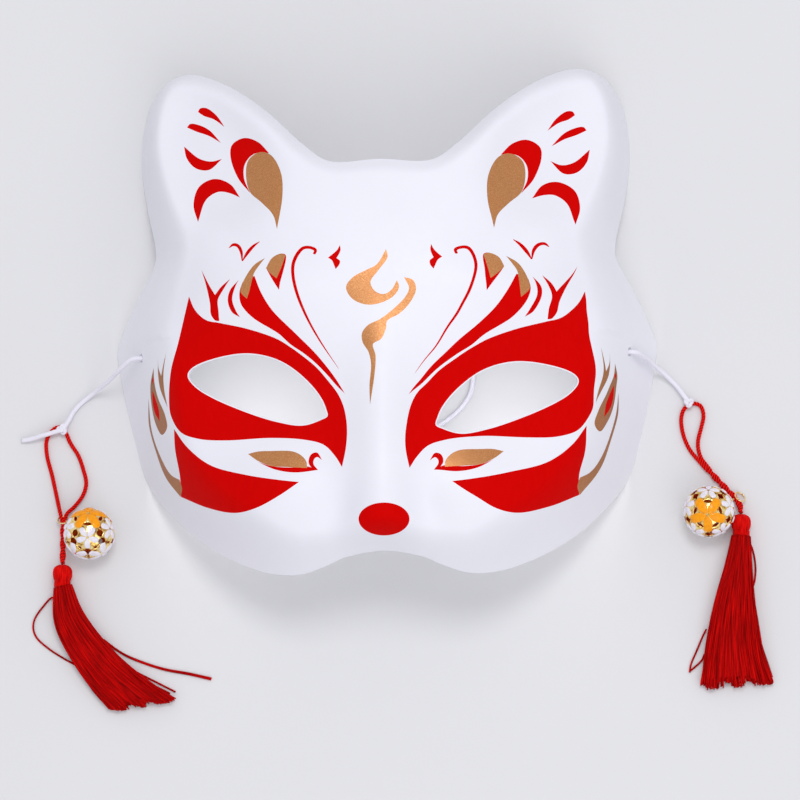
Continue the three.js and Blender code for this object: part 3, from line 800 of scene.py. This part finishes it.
def thread_red(name, dark, middle, bright, stretch, twisted=False):
    """Silky red rayon: fine fibres along the thread, with painted sheen on them and painted shade between
    them and, on the twisted cord, painted shade in the grooves between its plies."""
    finish = Finish(name, middle, 0.5, Sheen_Weight=0.01, Specular_IOR_Level=0.03)
    fibres = finish.noise(1.0, 3, 0.6, finish.place(stretch, along=True))
    tone = fibres
    if twisted:
        # Painted shade: the colour darkens in the grooves between the plies.
        tone = finish.math("MULTIPLY", finish.winding(), finish.spread(fibres, 0.25, 0.75, 0.6, 1.0))
    # Painted sheen and shade: the bright and dark stops along the fibres stand in for the gloss of the
    # rayon.
    finish.shade(tone, (0.3, dark), (0.5, middle), (0.72, bright))
    finish.gloss(fibres, 0.42, 0.6)
    finish.relief(fibres, 0.05)
    return finish.material


def polished_gold(name, dark, color, bright, low, high):
    """Gold plating: painted highlights and painted shade in patches spread by noise, tiny dents and hairline
    scratches.
    """
    finish = Finish(name, color, low, Metallic=1.0)
    # Painted highlights and shade: noise lightens and darkens the gold's colour in small patches.
    painted_glints_and_shade = finish.noise(750, 3, 0.6)
    finish.shade(painted_glints_and_shade, (0.34, dark), (0.46, color), (0.62, bright))
    finish.gloss(finish.noise(1500, 3, 0.6), low, high)
    finish.relief(finish.noise(600, 2, 0.5), 0.12)
    scratches = finish.noise(9000, 2, 0.5, finish.place((1, 0.08, 0.3), (0.4, 0.2, 0.7)))
    finish.relief(scratches, 0.004)
    return finish.material


def enamel(name, dark, bright):
    """Glossy enamel with a faint cloudiness and a smooth wavy surface."""
    finish = Finish(name, bright, 0.25, Coat_Weight=0.05, Specular_IOR_Level=0.25)
    clouds = finish.noise(900, 3, 0.6)
    finish.shade(clouds, (0.3, dark), (0.65, bright))
    finish.gloss(finish.noise(1400, 2), 0.14, 0.3)
    finish.relief(finish.noise(700, 2), 0.05)
    return finish.material


def table_white():
    """Pale matt table top with a faint cloudiness and grain."""
    finish = Finish("table_white", (0.7, 0.7, 0.71), 0.75, Specular_IOR_Level=0.2)
    finish.shade(finish.noise(3, 3), (0.3, (0.705, 0.703, 0.712)), (0.7, (0.725, 0.723, 0.732)))
    finish.relief(finish.noise(900, 3, 0.6), 0.02)
    return finish.material


WHITE = white_sheet()
RED = red_paint()
GOLD = gold_paint()
ELASTIC = elastic_white()
CORD_RED = thread_red("cord_red", (0.2, 0.0005, 0.0005), (0.62, 0.002, 0.0015), (0.9, 0.012, 0.008),
                      (900, 2600, 1), twisted=True)
TASSEL_RED = thread_red("tassel_red", (0.08, 0.0002, 0.0002), (0.4, 0.0006, 0.0006), (0.8, 0.004, 0.003),
                        (90, 2400, 1))
HEAD_RED = thread_red("head_red", (0.25, 0.0005, 0.0005), (0.66, 0.002, 0.0015), (0.9, 0.015, 0.008),
                      (300, 2600, 1))
BELL_GOLD = polished_gold("bell_gold", (0.32, 0.15, 0.03), (0.86, 0.56, 0.16), (1.0, 0.86, 0.42), 0.08, 0.18)
# Painted shade and reflection: the inside of each bell, seen through its windows, is a darker, redder copy
# of the gold.
BELL_INSIDE_PAINTED_SHADE = polished_gold("bell_inside_painted_shade", (0.5, 0.07, 0.005), (0.8, 0.15, 0.012), (1.0, 0.26, 0.03),
                            0.4, 0.55)
RING_GOLD = polished_gold("ring_gold", (0.4, 0.22, 0.06), (0.88, 0.62, 0.24), (1.0, 0.85, 0.5), 0.12, 0.24)
ORANGE_ENAMEL = enamel("orange_enamel", (0.86, 0.29, 0.0), (1.0, 0.38, 0.0))
WHITE_ENAMEL = enamel("white_enamel", (0.72, 0.68, 0.76), (0.84, 0.81, 0.88))


# The elastic and its knots

ELASTIC_SPACING = 0.7
KNOT_DROP = 0.2
KNOT_RADIUS = ELASTIC_DIAMETER * 0.4


def knot_path(middle, size, turn, count=120):
    """A trefoil knot: a closed line that winds three times round itself, turned and flattened."""
    t = circle(count)
    flat = np.stack([np.sin(t) + 2 * np.sin(2 * t), np.cos(t) - 2 * np.cos(2 * t)], axis=1)
    spin = np.array([[math.cos(turn), -math.sin(turn)], [math.sin(turn), math.cos(turn)]])
    across = flat @ spin.T * (size / 3)
    up = -np.sin(3 * t) * size * 0.28
    return np.concatenate([across, up[:, None]], axis=1) + middle


def make_elastic():
    """The elastic as one tube along its route, with a knot at each end."""
    route = evenly(through_points(ELASTIC_ROUTE, 24), ELASTIC_SPACING)
    cord = make_thread("elastic", tubes(route[None], ELASTIC_DIAMETER / 2, 20), ELASTIC, "elastic",
                       ["elastic_cord"])
    for name, (middle, size, turn) in ELASTIC_KNOTS.items():
        path = knot_path(np.array(middle) - [0, 0, KNOT_DROP], size, turn)
        tube = tubes(path[None], KNOT_RADIUS, 14, loop=True)
        make_thread(f"elastic_knot_{name}", tube, ELASTIC, "elastic")


# The red loops

def loop_route(shape):
    """Middle line of a loop: out along the doubled stretch on a helix, round the open stretch
    and back on the opposite side of the same helix."""
    pair = evenly(through_points(shape["pair"], 20), 0.25)
    along = run_length(pair)
    tangent = unit(np.gradient(pair, axis=0))
    side = unit(np.cross(tangent, UPWARD))
    above = np.cross(side, tangent)
    turn = (2 * math.pi * (along[-1] - along) / PAIR_PITCH)[:, None]
    strand = (np.cos(turn) * side + np.sin(turn) * above) * PAIR_OFFSET
    open_part = through_points([pair[-1] - strand[-1], *shape["open"], pair[-1] + strand[-1]], 20)
    whole = np.concatenate([pair - strand, open_part[1:-1], (pair + strand)[::-1]])
    blur = np.array([1, 2, 3, 4, 3, 2, 1]) / 16
    even = evenly(whole, 0.2)
    soft = np.stack([np.convolve(column, blur, "valid") for column in even.T], axis=1)
    return np.concatenate([even[:1], soft, even[-1:]]) + shape["head"]


def plies(along, angle):
    """Twisted plies: an absolute cosine wave with one crest for each ply goes round the section
    and winds once round the cord in every pitch."""
    return 0.8 + 0.21 * np.abs(np.cos(PLIES / 2 * (angle - 2 * math.pi * along / PLY_PITCH)))


# The bells

# A dodecahedron's angles in degrees from the middle of a face, and the seam between plates
FACE_TO_CORNER = 37.377
FACE_TO_EDGE = 31.717
PLATE_SEAM = 0.3
PLATE_POINTS = 120
# In degrees: round windows at corners, and windows and slits at edges as half-length and depth
CORNER_HOLE = 8.6
NO_HOLE = 0.01
EDGE_WINDOW = (8.6, 7.4)
POLE_SLIT = (9.0, 3.4)
SIDE_SLIT = (4.4, 2.4)
# Large orange, small white and larger white petals in degrees: start, length, half-width, taper
PETALS = [(3, 42.5, 10.8, 0.38), (2.5, 24, 6.8, 0.5), (3.2, 30.3, 8.2, 0.55)]
# Rings of a plate and of a petal: a share of the outline and a height above the ball
PLATE_RINGS = [
    (0.2, 0.0), (0.4, -0.02), (0.58, -0.07), (0.72, -0.1), (0.83, -0.07), (0.92, -0.02), (0.97, -0.06),
    (1, -0.2), (1, -0.42), (0.95, -BELL_WALL), (0.6, -BELL_WALL),
]
# Rings from this one on, the cut edge and the inner face of a plate, take the bell's painted shade.
FIRST_INNER_RING = 7
PETAL_RINGS = [(0.3, 0.3), (0.55, 0.29), (0.76, 0.25), (0.9, 0.17), (0.98, 0.07), (1, -0.05), (0.96, -0.2)]


def plate_outline(corner_holes, edge_cuts, count=PLATE_POINTS):
    """Edge of one plate in degrees from its middle: a pentagon with a round bite at each corner
    and half an oval cut in the middle of each side."""
    degrees = 90 + 360 * np.arange(count) / count
    angle = np.radians(degrees)
    off = (degrees - 90 + 36) % 72 - 36
    corner = np.round((degrees - 90) / 72).astype(int) % 5
    side = np.floor((degrees - 90) / 72).astype(int) % 5
    from_edge = np.radians(36 - np.abs(off))
    edge = np.degrees(np.arctan(math.tan(math.radians(FACE_TO_EDGE)) / np.cos(from_edge)))
    hole = np.array(corner_holes, float)[corner]
    sine = FACE_TO_CORNER * np.sin(np.radians(off))
    bite = FACE_TO_CORNER * np.cos(np.radians(off)) - np.sqrt(np.maximum(hole ** 2 - sine ** 2, 0))
    far = np.where(np.abs(sine) < hole, np.minimum(edge, bite), edge)
    long, deep = np.array(edge_cuts, float)[side].T
    middle = 0.55 * np.degrees(from_edge)
    far = far - deep * np.sqrt(np.maximum(1 - (middle / long) ** 2, 0)) - PLATE_SEAM
    return np.stack([far * np.cos(angle), far * np.sin(angle)], axis=1)


def petal_outline(start, length, half_width, taper, count=32):
    """Edge of one petal in degrees, pointing along y: narrow by the middle, widest near the
    tip, and blunt."""
    angle = circle(count)
    t = (1 - np.cos(angle)) / 2
    blunt = np.sqrt(np.maximum(1 - (2 * t - 1) ** 6, 0))
    half = half_width * blunt * (0.45 + 0.55 * eased(np.clip(t / taper, 0, 1)))
    return np.stack([-np.sign(np.sin(angle)) * half, start + length * t], axis=1)


def lens(outline, rings):
    """A closed cap on the ball: rings of the outline, each a share of its size and a height
    in millimetres above the ball, between a point at the top and one at the bottom."""
    middle, count = outline.mean(0), len(outline)
    shares, heights = np.array(rings).T
    flat = middle + shares[:, None, None] * (outline - middle)
    flat = np.concatenate([middle[None], flat.reshape(-1, 2), middle[None]])
    heights = np.concatenate([heights[:1], np.repeat(heights, count), heights[-1:]])
    tilt, turn = np.radians(np.hypot(*flat.T)), np.arctan2(flat[:, 1], flat[:, 0])
    out = np.stack([np.sin(tilt) * np.cos(turn), np.sin(tilt) * np.sin(turn), np.cos(tilt)], axis=1)
    here = np.arange(1, count + 1)
    after = np.roll(here, -1)
    last = count * (len(rings) - 1)
    top = np.stack([0 * here, here, after], axis=1)
    bottom = np.stack([0 * here + last + count + 1, last + after, last + here], axis=1)
    sides = grid_faces(len(rings), count)[0][:, OTHER_WAY] + 1
    return out * (BELL_DIAMETER / 2 + heights)[:, None], sides, np.concatenate([top, bottom])


def half_turn(axis):
    """Matrix of half a turn about an axis."""
    axis = unit(np.asarray(axis, float))
    return 2 * np.outer(axis, axis) - np.eye(3)


def plate_turns():
    """Rotations that carry the first plate to each of the twelve plates of the ball."""
    tilt = math.radians(FACE_TO_EDGE)
    turns = [np.eye(3)]
    for k in range(5):
        angle = math.radians(126 + 72 * k)
        turns.append(half_turn([math.sin(tilt) * math.cos(angle), math.sin(tilt) * math.sin(angle),
                                math.cos(tilt)]))
    across = half_turn([1, 0, 0])
    return turns + [across @ turn for turn in turns]


def make_bell(name, middle, axis, petal_way, stands_for):
    """Twelve pierced plates with a flower on each: a large orange one on the first plate, small
    white ones round it and larger white ones beyond."""
    axis = unit(axis)
    across = unit(np.cross(petal_way, axis))
    lay = np.stack([across, np.cross(axis, across), axis], axis=1)
    plates = [lens(plate_outline([NO_HOLE] * 5, [POLE_SLIT] * 5), PLATE_RINGS)]
    for k in range(5):
        corners, cuts = [CORNER_HOLE] * 5, [SIDE_SLIT] * 5
        corners[k] = corners[(k + 1) % 5] = NO_HOLE
        cuts[k] = POLE_SLIT
        cuts[(k + 1) % 5] = cuts[k - 1] = EDGE_WINDOW
        plates.append(lens(plate_outline(corners, cuts), PLATE_RINGS))
    plates += [lens(plate_outline([CORNER_HOLE] * 5, [SIDE_SLIT] * 5), PLATE_RINGS)] * 6
    large, small, white = (lens(petal_outline(*petal), PETAL_RINGS) for petal in PETALS)
    spins = [np.array(Matrix.Rotation(math.radians(72 * k), 3, "Z")) for k in range(5)]
    shapes, finish_of = [], []
    for turn, plate, petal in zip(plate_turns(), plates, [large] + [small] * 5 + [white] * 6):
        shapes.append((plate[0] @ (lay @ turn).T, *plate[1:]))
        ring = np.arange(len(plate[1])) // PLATE_POINTS
        # The cut edges, inner faces and inner caps take the painted shade of the inside.
        finish_of += [ring >= FIRST_INNER_RING, np.repeat([0, 1], PLATE_POINTS)]
        for spin in spins:
            shapes.append((petal[0] @ (lay @ turn @ spin).T, *petal[1:]))
            finish_of.append(np.full(len(petal[1]) + len(petal[2]), 2 if petal is large else 3))
    points, faces = joined(*shapes)
    return make_piece(name, points + middle, faces, [BELL_GOLD, BELL_INSIDE_PAINTED_SHADE, ORANGE_ENAMEL, WHITE_ENAMEL],
                      "bell_brass", stands_for, finish_of=np.concatenate(finish_of))


# The tassels

def skirt_line(stations, rows):
    """Middle line of the skirt with its width and height, evenly spaced."""
    line = through_points([[x, y, 0, wide, high] for x, y, wide, high in stations], 12)
    along = run_length(line[:, :2])
    at = np.linspace(0, along[-1], rows)
    return np.stack([np.interp(at, along, line[:, k]) for k in (0, 1, 3, 4)], axis=1)


def section_way(slope, share, cut):
    """Direction across the skirt: square to its line at first, along the cut at its end."""
    bend = eased(np.clip((share - 0.4) / 0.6, 0, 1))[..., None]
    square = slope[..., ::-1] * [-1, 1]
    return unit((1 - bend) * square + bend * np.array(cut))


def skirt_threads(shape, count, rows=THREAD_ROWS):
    """Threads of the skirt: each keeps its place in the bundle's oval section, waves a little
    more towards its free end, and is cut at its own length. Those at one edge may part."""
    chance = np.random.default_rng(shape["seed"])
    line = skirt_line(shape["skirt"], 200)
    along = np.linspace(0, 1, 200)
    angle = chance.uniform(0, 2 * math.pi, (count, 1))
    jagged = 0.022 * (1 + np.sin(8 * np.cos(angle) + shape["seed"]))
    jagged = jagged + np.abs(chance.normal(0, 0.02, (count, 1)))
    share = np.linspace(0, 1, rows)[None, :] * (1.01 - jagged)
    x, y, wide, high = (np.interp(share, along, line[:, k]) for k in range(4))
    slope = unit(np.stack([np.gradient(x, axis=1), np.gradient(y, axis=1)], axis=-1))
    way = section_way(slope, share, shape["cut"])
    depth = np.sqrt(chance.uniform(0.45, 1, (count, 1)))
    waves = 0
    for k in range(1, 4):
        phase = chance.uniform(0, 2 * math.pi, (count, 1))
        waves = waves + chance.normal(0, 0.35 / k, (count, 1)) * np.sin(math.pi * k * 1.3 * share + phase)
    grow = share ** 1.3
    parted = np.where(np.cos(angle) > 0.86, shape["clump"], 0) * share ** 4
    across = depth * np.cos(angle) * (wide - 0.4) / 2 + waves * grow * 1.1 + parted
    lift = (1 + depth * np.sin(angle + 0.3 * waves * grow)) * (high - 2 * THREAD_RADIUS) / 2
    return np.stack([x + way[..., 0] * across, y + way[..., 1] * across, THREAD_LIFT + lift], axis=-1)


def stray_threads(strokes, rows=THREAD_ROWS):
    """Loose threads lying on the table, along lines of the picture."""
    lines = [on_table(through_points(pixels, 10), STRAY_HEIGHT) for pixels in strokes]
    lift = np.clip(1 - np.linspace(0, 1, rows) / 0.12, 0, 1)[:, None] * [0, 0, 1.6]
    return np.array([evenly(line, run_length(line)[-1] / (rows - 1)) for line in lines]) + lift


def skirt_body(shape, around=96):
    """Core of the skirt: its oval section carried along the line, ribbed like packed threads."""
    line = skirt_line(shape["skirt"], 60)[:-4]
    angle = circle(around)
    share = np.linspace(0, 1, len(line))[:, None]
    ribs = 0.86 + 0.035 * np.sin(23 * angle + 3 * share) + 0.03 * np.sin(37 * angle - 5 * share)
    across = ribs * np.cos(angle) * line[:, 2:3] / 2
    lift = (1 + ribs * np.sin(angle)) * line[:, 3:4] / 2
    way = section_way(unit(np.gradient(line[:, :2], axis=0)), share[:, 0], shape["cut"])
    flat = line[:, None, :2] + way[:, None] * across[..., None]
    points = np.concatenate([flat, lift[..., None]], axis=-1)
    lengths = side_by_side(share * 50, angle * 3.5)
    return points.reshape(-1, 3), *grid_faces(len(line), around), lengths.reshape(-1, 2) * MM


# Outline of a tassel's head: a share of its length and of its radius
HEAD_PROFILE = [
    [0, 0.05], [0.02, 0.35], [0.07, 0.62], [0.15, 0.84], [0.27, 0.97], [0.4, 1.0], [0.55, 0.97],
    [0.66, 0.88], [0.74, 0.83], [0.8, 0.86], [0.86, 0.86], [0.92, 0.86], [1.0, 0.86],
]


def head_shape(around=144):
    """Head of the tassel, lying along negative y: a barrel of folded threads that run along
    it, with the binding thread wound round its foot."""
    profile = through_points(HEAD_PROFILE, 8)
    s, r = profile[:, :1], profile[:, 1:2]
    angle = circle(around)
    fold = np.clip((0.72 - s) / 0.06, 0, 1)
    threads = 0.045 * np.abs(np.sin(17 * (angle + 0.5 * s))) - 0.02 + 0.02 * np.sin(5 * angle + 4 * s)
    wraps = 0.05 * np.abs(np.sin(math.pi * s * HEAD_LENGTH / WRAP_PITCH + angle / 2)) - 0.02
    size = HEAD_DIAMETER / 2 * (r + np.minimum(1, 3 * r) * (fold * threads + (1 - fold) * wraps))
    points = side_by_side(size * np.cos(angle), -s * (HEAD_LENGTH + 0.2), size * np.sin(angle))
    lengths = side_by_side(s * HEAD_LENGTH, angle * HEAD_DIAMETER / 2)
    return points.reshape(-1, 3), *grid_faces(len(profile), around), lengths.reshape(-1, 2) * MM


def make_hanging_set(name, shape, bell_axis, petal_way):
    """Loop, split ring, bell and tassel of one side."""
    start = np.array(shape["head"])
    route = loop_route(shape)
    loop = make_thread(f"loop_{name}", tubes(route[None], LOOP_DIAMETER / 2, 24, relief=plies), CORD_RED,
                       "red_cord", [f"loop_cord_{name}"])
    turn, lean = math.radians(shape["ring_turn"]), math.radians(RING_LEAN)
    axis = [math.sin(turn) * math.cos(lean), math.cos(turn) * math.cos(lean), math.sin(lean)]
    ring = make_piece(f"ring_{name}", *torus(start + shape["ring"], axis, RING_RADIUS, RING_WIRE),
                      [RING_GOLD], "ring_wire", [f"split_ring_{name}"])
    middle = start + shape["bell"]
    bell = make_bell(f"flower_bell_{name}", middle, bell_axis, petal_way, [f"bell_{name}"])
    outward = unit((start + shape["ring"] - middle) * [1, 1, 0.6])
    eye_middle = middle + outward * (BELL_DIAMETER / 2 + BELL_EYE_STAND)
    eye_ring = torus(eye_middle, np.cross(outward, UPWARD), BELL_EYE_RADIUS, RING_WIRE)
    eye = make_piece(f"bell_eye_{name}", *eye_ring, [RING_GOLD], "bell_brass")
    points, *rest = head_shape()
    head = make_thread(f"bound_head_{name}", (points + start + [0, 0, HEAD_DIAMETER / 2], *rest), HEAD_RED,
                       "tassel_thread", [f"tassel_head_{name}"])
    make_thread(f"stray_threads_{name}", tubes(stray_threads(shape["strays"]), STRAY_RADIUS, 8), TASSEL_RED,
                "tassel_thread")
    foot = start + [0, -HEAD_LENGTH, 0]
    threads = tubes(skirt_threads(shape, THREADS) + foot, THREAD_RADIUS, 6)
    shift = np.random.default_rng(shape["seed"]).uniform(0, 0.4, (THREADS, 2))
    body = skirt_body(shape)
    lengths = np.concatenate([threads[3] + np.repeat(shift, len(threads[3]) // THREADS, axis=0), body[3]])
    points, faces = joined(threads[:3], (body[0] + foot, *body[1:3]))
    skirt = make_piece(f"skirt_{name}", points, faces, [TASSEL_RED], "tassel_thread",
                       [f"tassel_skirt_{name}"], lengths=lengths)


# The painted sheet

PAINT_SPACING = 0.45
BARE_MARGIN = 0.35
RIM_ROWS = (0.45, 1.0, 1.7)


def stroke(runs):
    """Outline of one patch of paint on the mask: its runs carried on to the surface."""
    whole = runs[:1] + [[before[-1], *run] for before, run in zip(runs, runs[1:])]
    return np.concatenate([evenly(carried(through_points(run, 10)), PAINT_SPACING)[:-1] for run in whole])


def brush(line, widths):
    """Outline of a brush stroke: its middle line with half of its width to each side."""
    middle = through_points([(x, y, 0, w) for (x, y), w in zip(line, widths)], 10)
    out = unit(np.gradient(middle[:, :2], axis=0))[:, ::-1] * [1, -1] * middle[:, 3:4] / 2
    outline = np.concatenate([middle[:, :2] + out, (middle[:, :2] - out)[::-1]])
    return evenly(carried(np.concatenate([outline, outline[:1]])), PAINT_SPACING)[:-1]


def other_side(outline):
    """The stroke on the right: the mirror image of the one on the left, moved in the picture by
    the drift, blended between the places where it is known."""
    pixels = seen(outline * [-1, 1])
    apart = pixels[:, None, :] - DRIFT[:, :2]
    weight = 1 / ((apart ** 2).sum(-1) + DRIFT_REACH ** 2) ** 2
    shift = weight @ DRIFT[:, 2:] / weight.sum(1, keepdims=True)
    return carried(pixels + shift)


def paint_outlines():
    """Closed outlines with their finish, 1 red and 2 gold, later ones on top."""
    found = []
    for finish, strokes in ((1, RED_PAINT), (2, GOLD_PAINT), (1, RED_ON_GOLD)):
        for runs in strokes.values():
            one = stroke(runs)
            found += [(finish, one), (finish, other_side(one))]
    for line, widths in RED_BRUSH.values():
        one = brush(line, widths)
        found += [(1, one), (1, other_side(one))]
    found += [(2, stroke(runs)) for runs in GOLD_FOREHEAD.values()]
    turn = np.linspace(0, 2 * math.pi, 90)[:, None]
    spot = np.array(NOSE_SPOT["middle"]) + np.concatenate(
        [np.cos(turn) * NOSE_SPOT["width"] / 2, np.sin(turn) * NOSE_SPOT["height"] / 2], axis=1)
    found.append((1, carried(spot)[:-1]))
    return found


def cord_hole(side, count=28):
    """Edge of the side hole in plan: the places on the wall at the hole's distance from its
    axis, found by halving the range of x again and again."""
    radius = ELASTIC_DIAMETER / 2 + HOLE_CLEARANCE
    angle = circle(count)
    y = CORD_HOLE[1] + radius * np.cos(angle)
    height = CORD_HOLE[2] + radius * np.sin(angle)
    low, high = np.full((2, count), np.array(HOLE_SEARCH)[:, None])
    for _ in range(HALVINGS):
        x = (low + high) / 2
        above = surface(np.stack([x, y], axis=1)) > height
        low, high = np.where(above, x, low), np.where(above, high, x)
    return np.stack([side * x, y], axis=1)


def beside(loop):
    """Unit vectors square to a closed outline in plan, to the right of its way round."""
    return unit(np.roll(loop, -1, axis=0) - np.roll(loop, 1, axis=0))[:, ::-1] * [1, -1]


def widened(loop, by):
    """A closed outline moved outward by a distance."""
    after = np.roll(loop, -1, axis=0)
    turning = np.sum(loop[:, 0] * after[:, 1] - loop[:, 1] * after[:, 0])
    return loop + beside(loop) * by * np.sign(turning)


def rim_rows():
    """The trimmed edge in plan and three rows just inside it."""
    edge = FINE_RIM[:, :2]
    return edge, [edge + beside(edge) * depth for depth in RIM_ROWS]


def eye_edge(side):
    """Edge of an eye hole in plan, its corners softened by two passes of a running mean."""
    loop = evenly(through_points(EYE_HOLE, 8), 0.6)[:-1]
    for _ in range(2):
        loop = (np.roll(loop, 1, axis=0) + 2 * loop + np.roll(loop, -1, axis=0)) / 4
    return loop * [side, 1] - [0, side * EYE_SHIFT]


def filling(edge, innermost, fixed, pitch=1.0, cell=0.45):
    """Points of a triangular grid inside the innermost row of the rim, without those in the
    same small cell as a fixed point or in one beside it."""
    low, high = edge.min(0), edge.max(0)
    x, y = np.meshgrid(np.arange(low[0], high[0], pitch), np.arange(low[1], high[1], pitch * 0.866))
    x = x + (np.arange(x.shape[0]) % 2 * pitch / 2)[:, None]
    grid = np.stack([x.ravel(), y.ravel()], axis=1)
    key = np.array([4000, 1])
    taken = np.floor((fixed - low) / cell).astype(int)
    near = np.concatenate([(taken + [i, j]) @ key for i in (-1, 0, 1) for j in (-1, 0, 1)])
    grid = grid[~np.isin(np.floor((grid - low) / cell).astype(int) @ key, near)]
    return grid[inside(grid, innermost)]


def make_shell():
    """The painted sheet: a plan of triangles cut along the rim, the holes and every edge of
    the paint, lifted on to the surface, with an inner skin one sheet further in."""
    edge, rows = rim_rows()
    eyes = [eye_edge(side) for side in (-1, 1)]
    margins = [widened(loop, BARE_MARGIN) for loop in eyes]
    holes = [cord_hole(side) for side in (-1, 1)]
    paint = paint_outlines()
    loops = [edge, *eyes, *margins, *holes, *(outline for _, outline in paint)]
    fixed = np.concatenate(loops + rows)
    plan = np.concatenate([fixed, filling(edge, rows[-1], fixed)])
    starts = np.cumsum([0] + [len(loop) for loop in loops])
    here = [np.arange(start, end) for start, end in zip(starts, starts[1:])]
    sides = np.concatenate([np.stack([row, np.roll(row, -1)], axis=1) for row in here])
    cut, _, triangles, *_ = delaunay_2d_cdt(plan.tolist(), sides.tolist(), [], 0, 1e-5, False)
    flat, triangles = np.array(cut), np.array(triangles)
    middle = flat[triangles].mean(1)
    keep = inside(middle, edge)
    for hole in eyes + holes:
        keep &= ~inside(middle, hole)
    triangles, middle = triangles[keep], middle[keep]
    finish_of = np.zeros(len(triangles), int)
    for finish, outline in paint + [(0, margin) for margin in margins]:
        finish_of[inside(middle, outline)] = finish
    used, triangles = np.unique(triangles, return_inverse=True)
    flat, triangles = flat[used], triangles.reshape(-1, 3)
    span = flat[triangles[:, 1:]] - flat[triangles[:, :1]]
    backward = span[:, 0, 0] * span[:, 1, 1] < span[:, 0, 1] * span[:, 1, 0]
    triangles[backward] = triangles[backward][:, ::-1]
    outer = np.column_stack([flat, surface(flat)])
    inner = outer - surface_normal(flat) * SHEET
    inner[:, 2] = np.maximum(inner[:, 2], 0)
    count = len(outer)
    ends = np.concatenate([triangles[:, [0, 1]], triangles[:, [1, 2]], triangles[:, [2, 0]]])
    _, first, times = np.unique(np.sort(ends, axis=1) @ [count, 1], return_index=True, return_counts=True)
    border = ends[first[times == 1]]
    faces = [triangles, triangles[:, ::-1] + count, np.column_stack([border[:, ::-1], border + count])]
    finish_of = np.concatenate([finish_of, np.zeros(len(triangles) + len(border), int)])
    shell = make_piece("painted_shell", np.concatenate([outer, inner]), faces, [WHITE, RED, GOLD],
                       "mask_sheet", ["mask_shell"], finish_of=finish_of)
    sharpen(shell, np.concatenate([border, border + count]))


# The table and the lights

# Each lamp: its place and aim in metres, its width in metres and its power in watts
MAIN_LAMP = ((0.12, 0.34, 1.4), (0, 0, 0.02), 0.5, 5.6)
NEAR_LAMP = ((0.5, -1.0, 1.1), (0.05, -0.1, 0.02), 1.2, 3.7)
EYE_LAMP = (np.array([0.04, -0.03, 0.032]), np.array([0.04, -0.03, 0]), 0.05, 0.0108)
SURROUND, SURROUND_STRENGTH = (0.94, 0.95, 1.0, 1), 0.77


def make_table():
    """A square table top just under everything that lies on it."""
    size, drop = 2500.0, 0.05
    corners = [[x * size, y * size, -drop] for x, y in ((-1, -1), (1, -1), (1, 1), (-1, 1))]
    mesh = bpy.data.meshes.new("table_top")
    mesh.from_pydata((np.array(corners) * MM).tolist(), [], [(0, 1, 2, 3)])
    mesh.materials.append(table_white())
    in_scene("table_top", mesh)


def lamp(name, place, aim, size, power):
    """A round soft lamp at a place in metres, turned to face its aim."""
    light = bpy.data.lights.new(name, "AREA")
    light.shape, light.size, light.energy = "DISK", size, power
    item = in_scene(name, light)
    back = unit(np.array(place, float) - aim)
    aim_at(item, unit(np.cross([0.0, 1.0, 0.02], back)), back, place)
    return item


def make_lights():
    """A large soft lamp high above the ears, a weak one on the near side, an even pale surround,
    and a small lamp under each eye hole that lifts the table seen through it."""
    lamp("main_lamp", *MAIN_LAMP)
    lamp("near_lamp", *NEAR_LAMP)
    place, aim, size, power = EYE_LAMP
    for side in (-1, 1):
        under = lamp(f"eye_lamp_{side}", place * [side, 1, 1], aim * [side, 1, 1], size, power)
        under.visible_camera = False
    world = bpy.data.worlds.new("surround")
    world.use_nodes = True
    world.node_tree.nodes["Background"].inputs["Color"].default_value = SURROUND
    world.node_tree.nodes["Background"].inputs["Strength"].default_value = SURROUND_STRENGTH
    bpy.context.scene.world = world


bpy.context.scene.view_settings.view_transform = "Standard"
place_camera()
make_elastic()
tilt = math.radians(LEFT_BELL_TILT)
make_hanging_set("left", LEFT_SET, math.sin(tilt) * UP + math.cos(tilt) * BACK,
                 math.cos(tilt) * UP - math.sin(tilt) * BACK)
towards_eye = unit(EYE_POINT - RIGHT_SET["head"] - RIGHT_SET["bell"])
down, left = RIGHT_BELL_LEAN
make_hanging_set("right", RIGHT_SET, towards_eye - down * UP - left * RIGHT, -UP)
make_shell()
make_table()
make_lights()
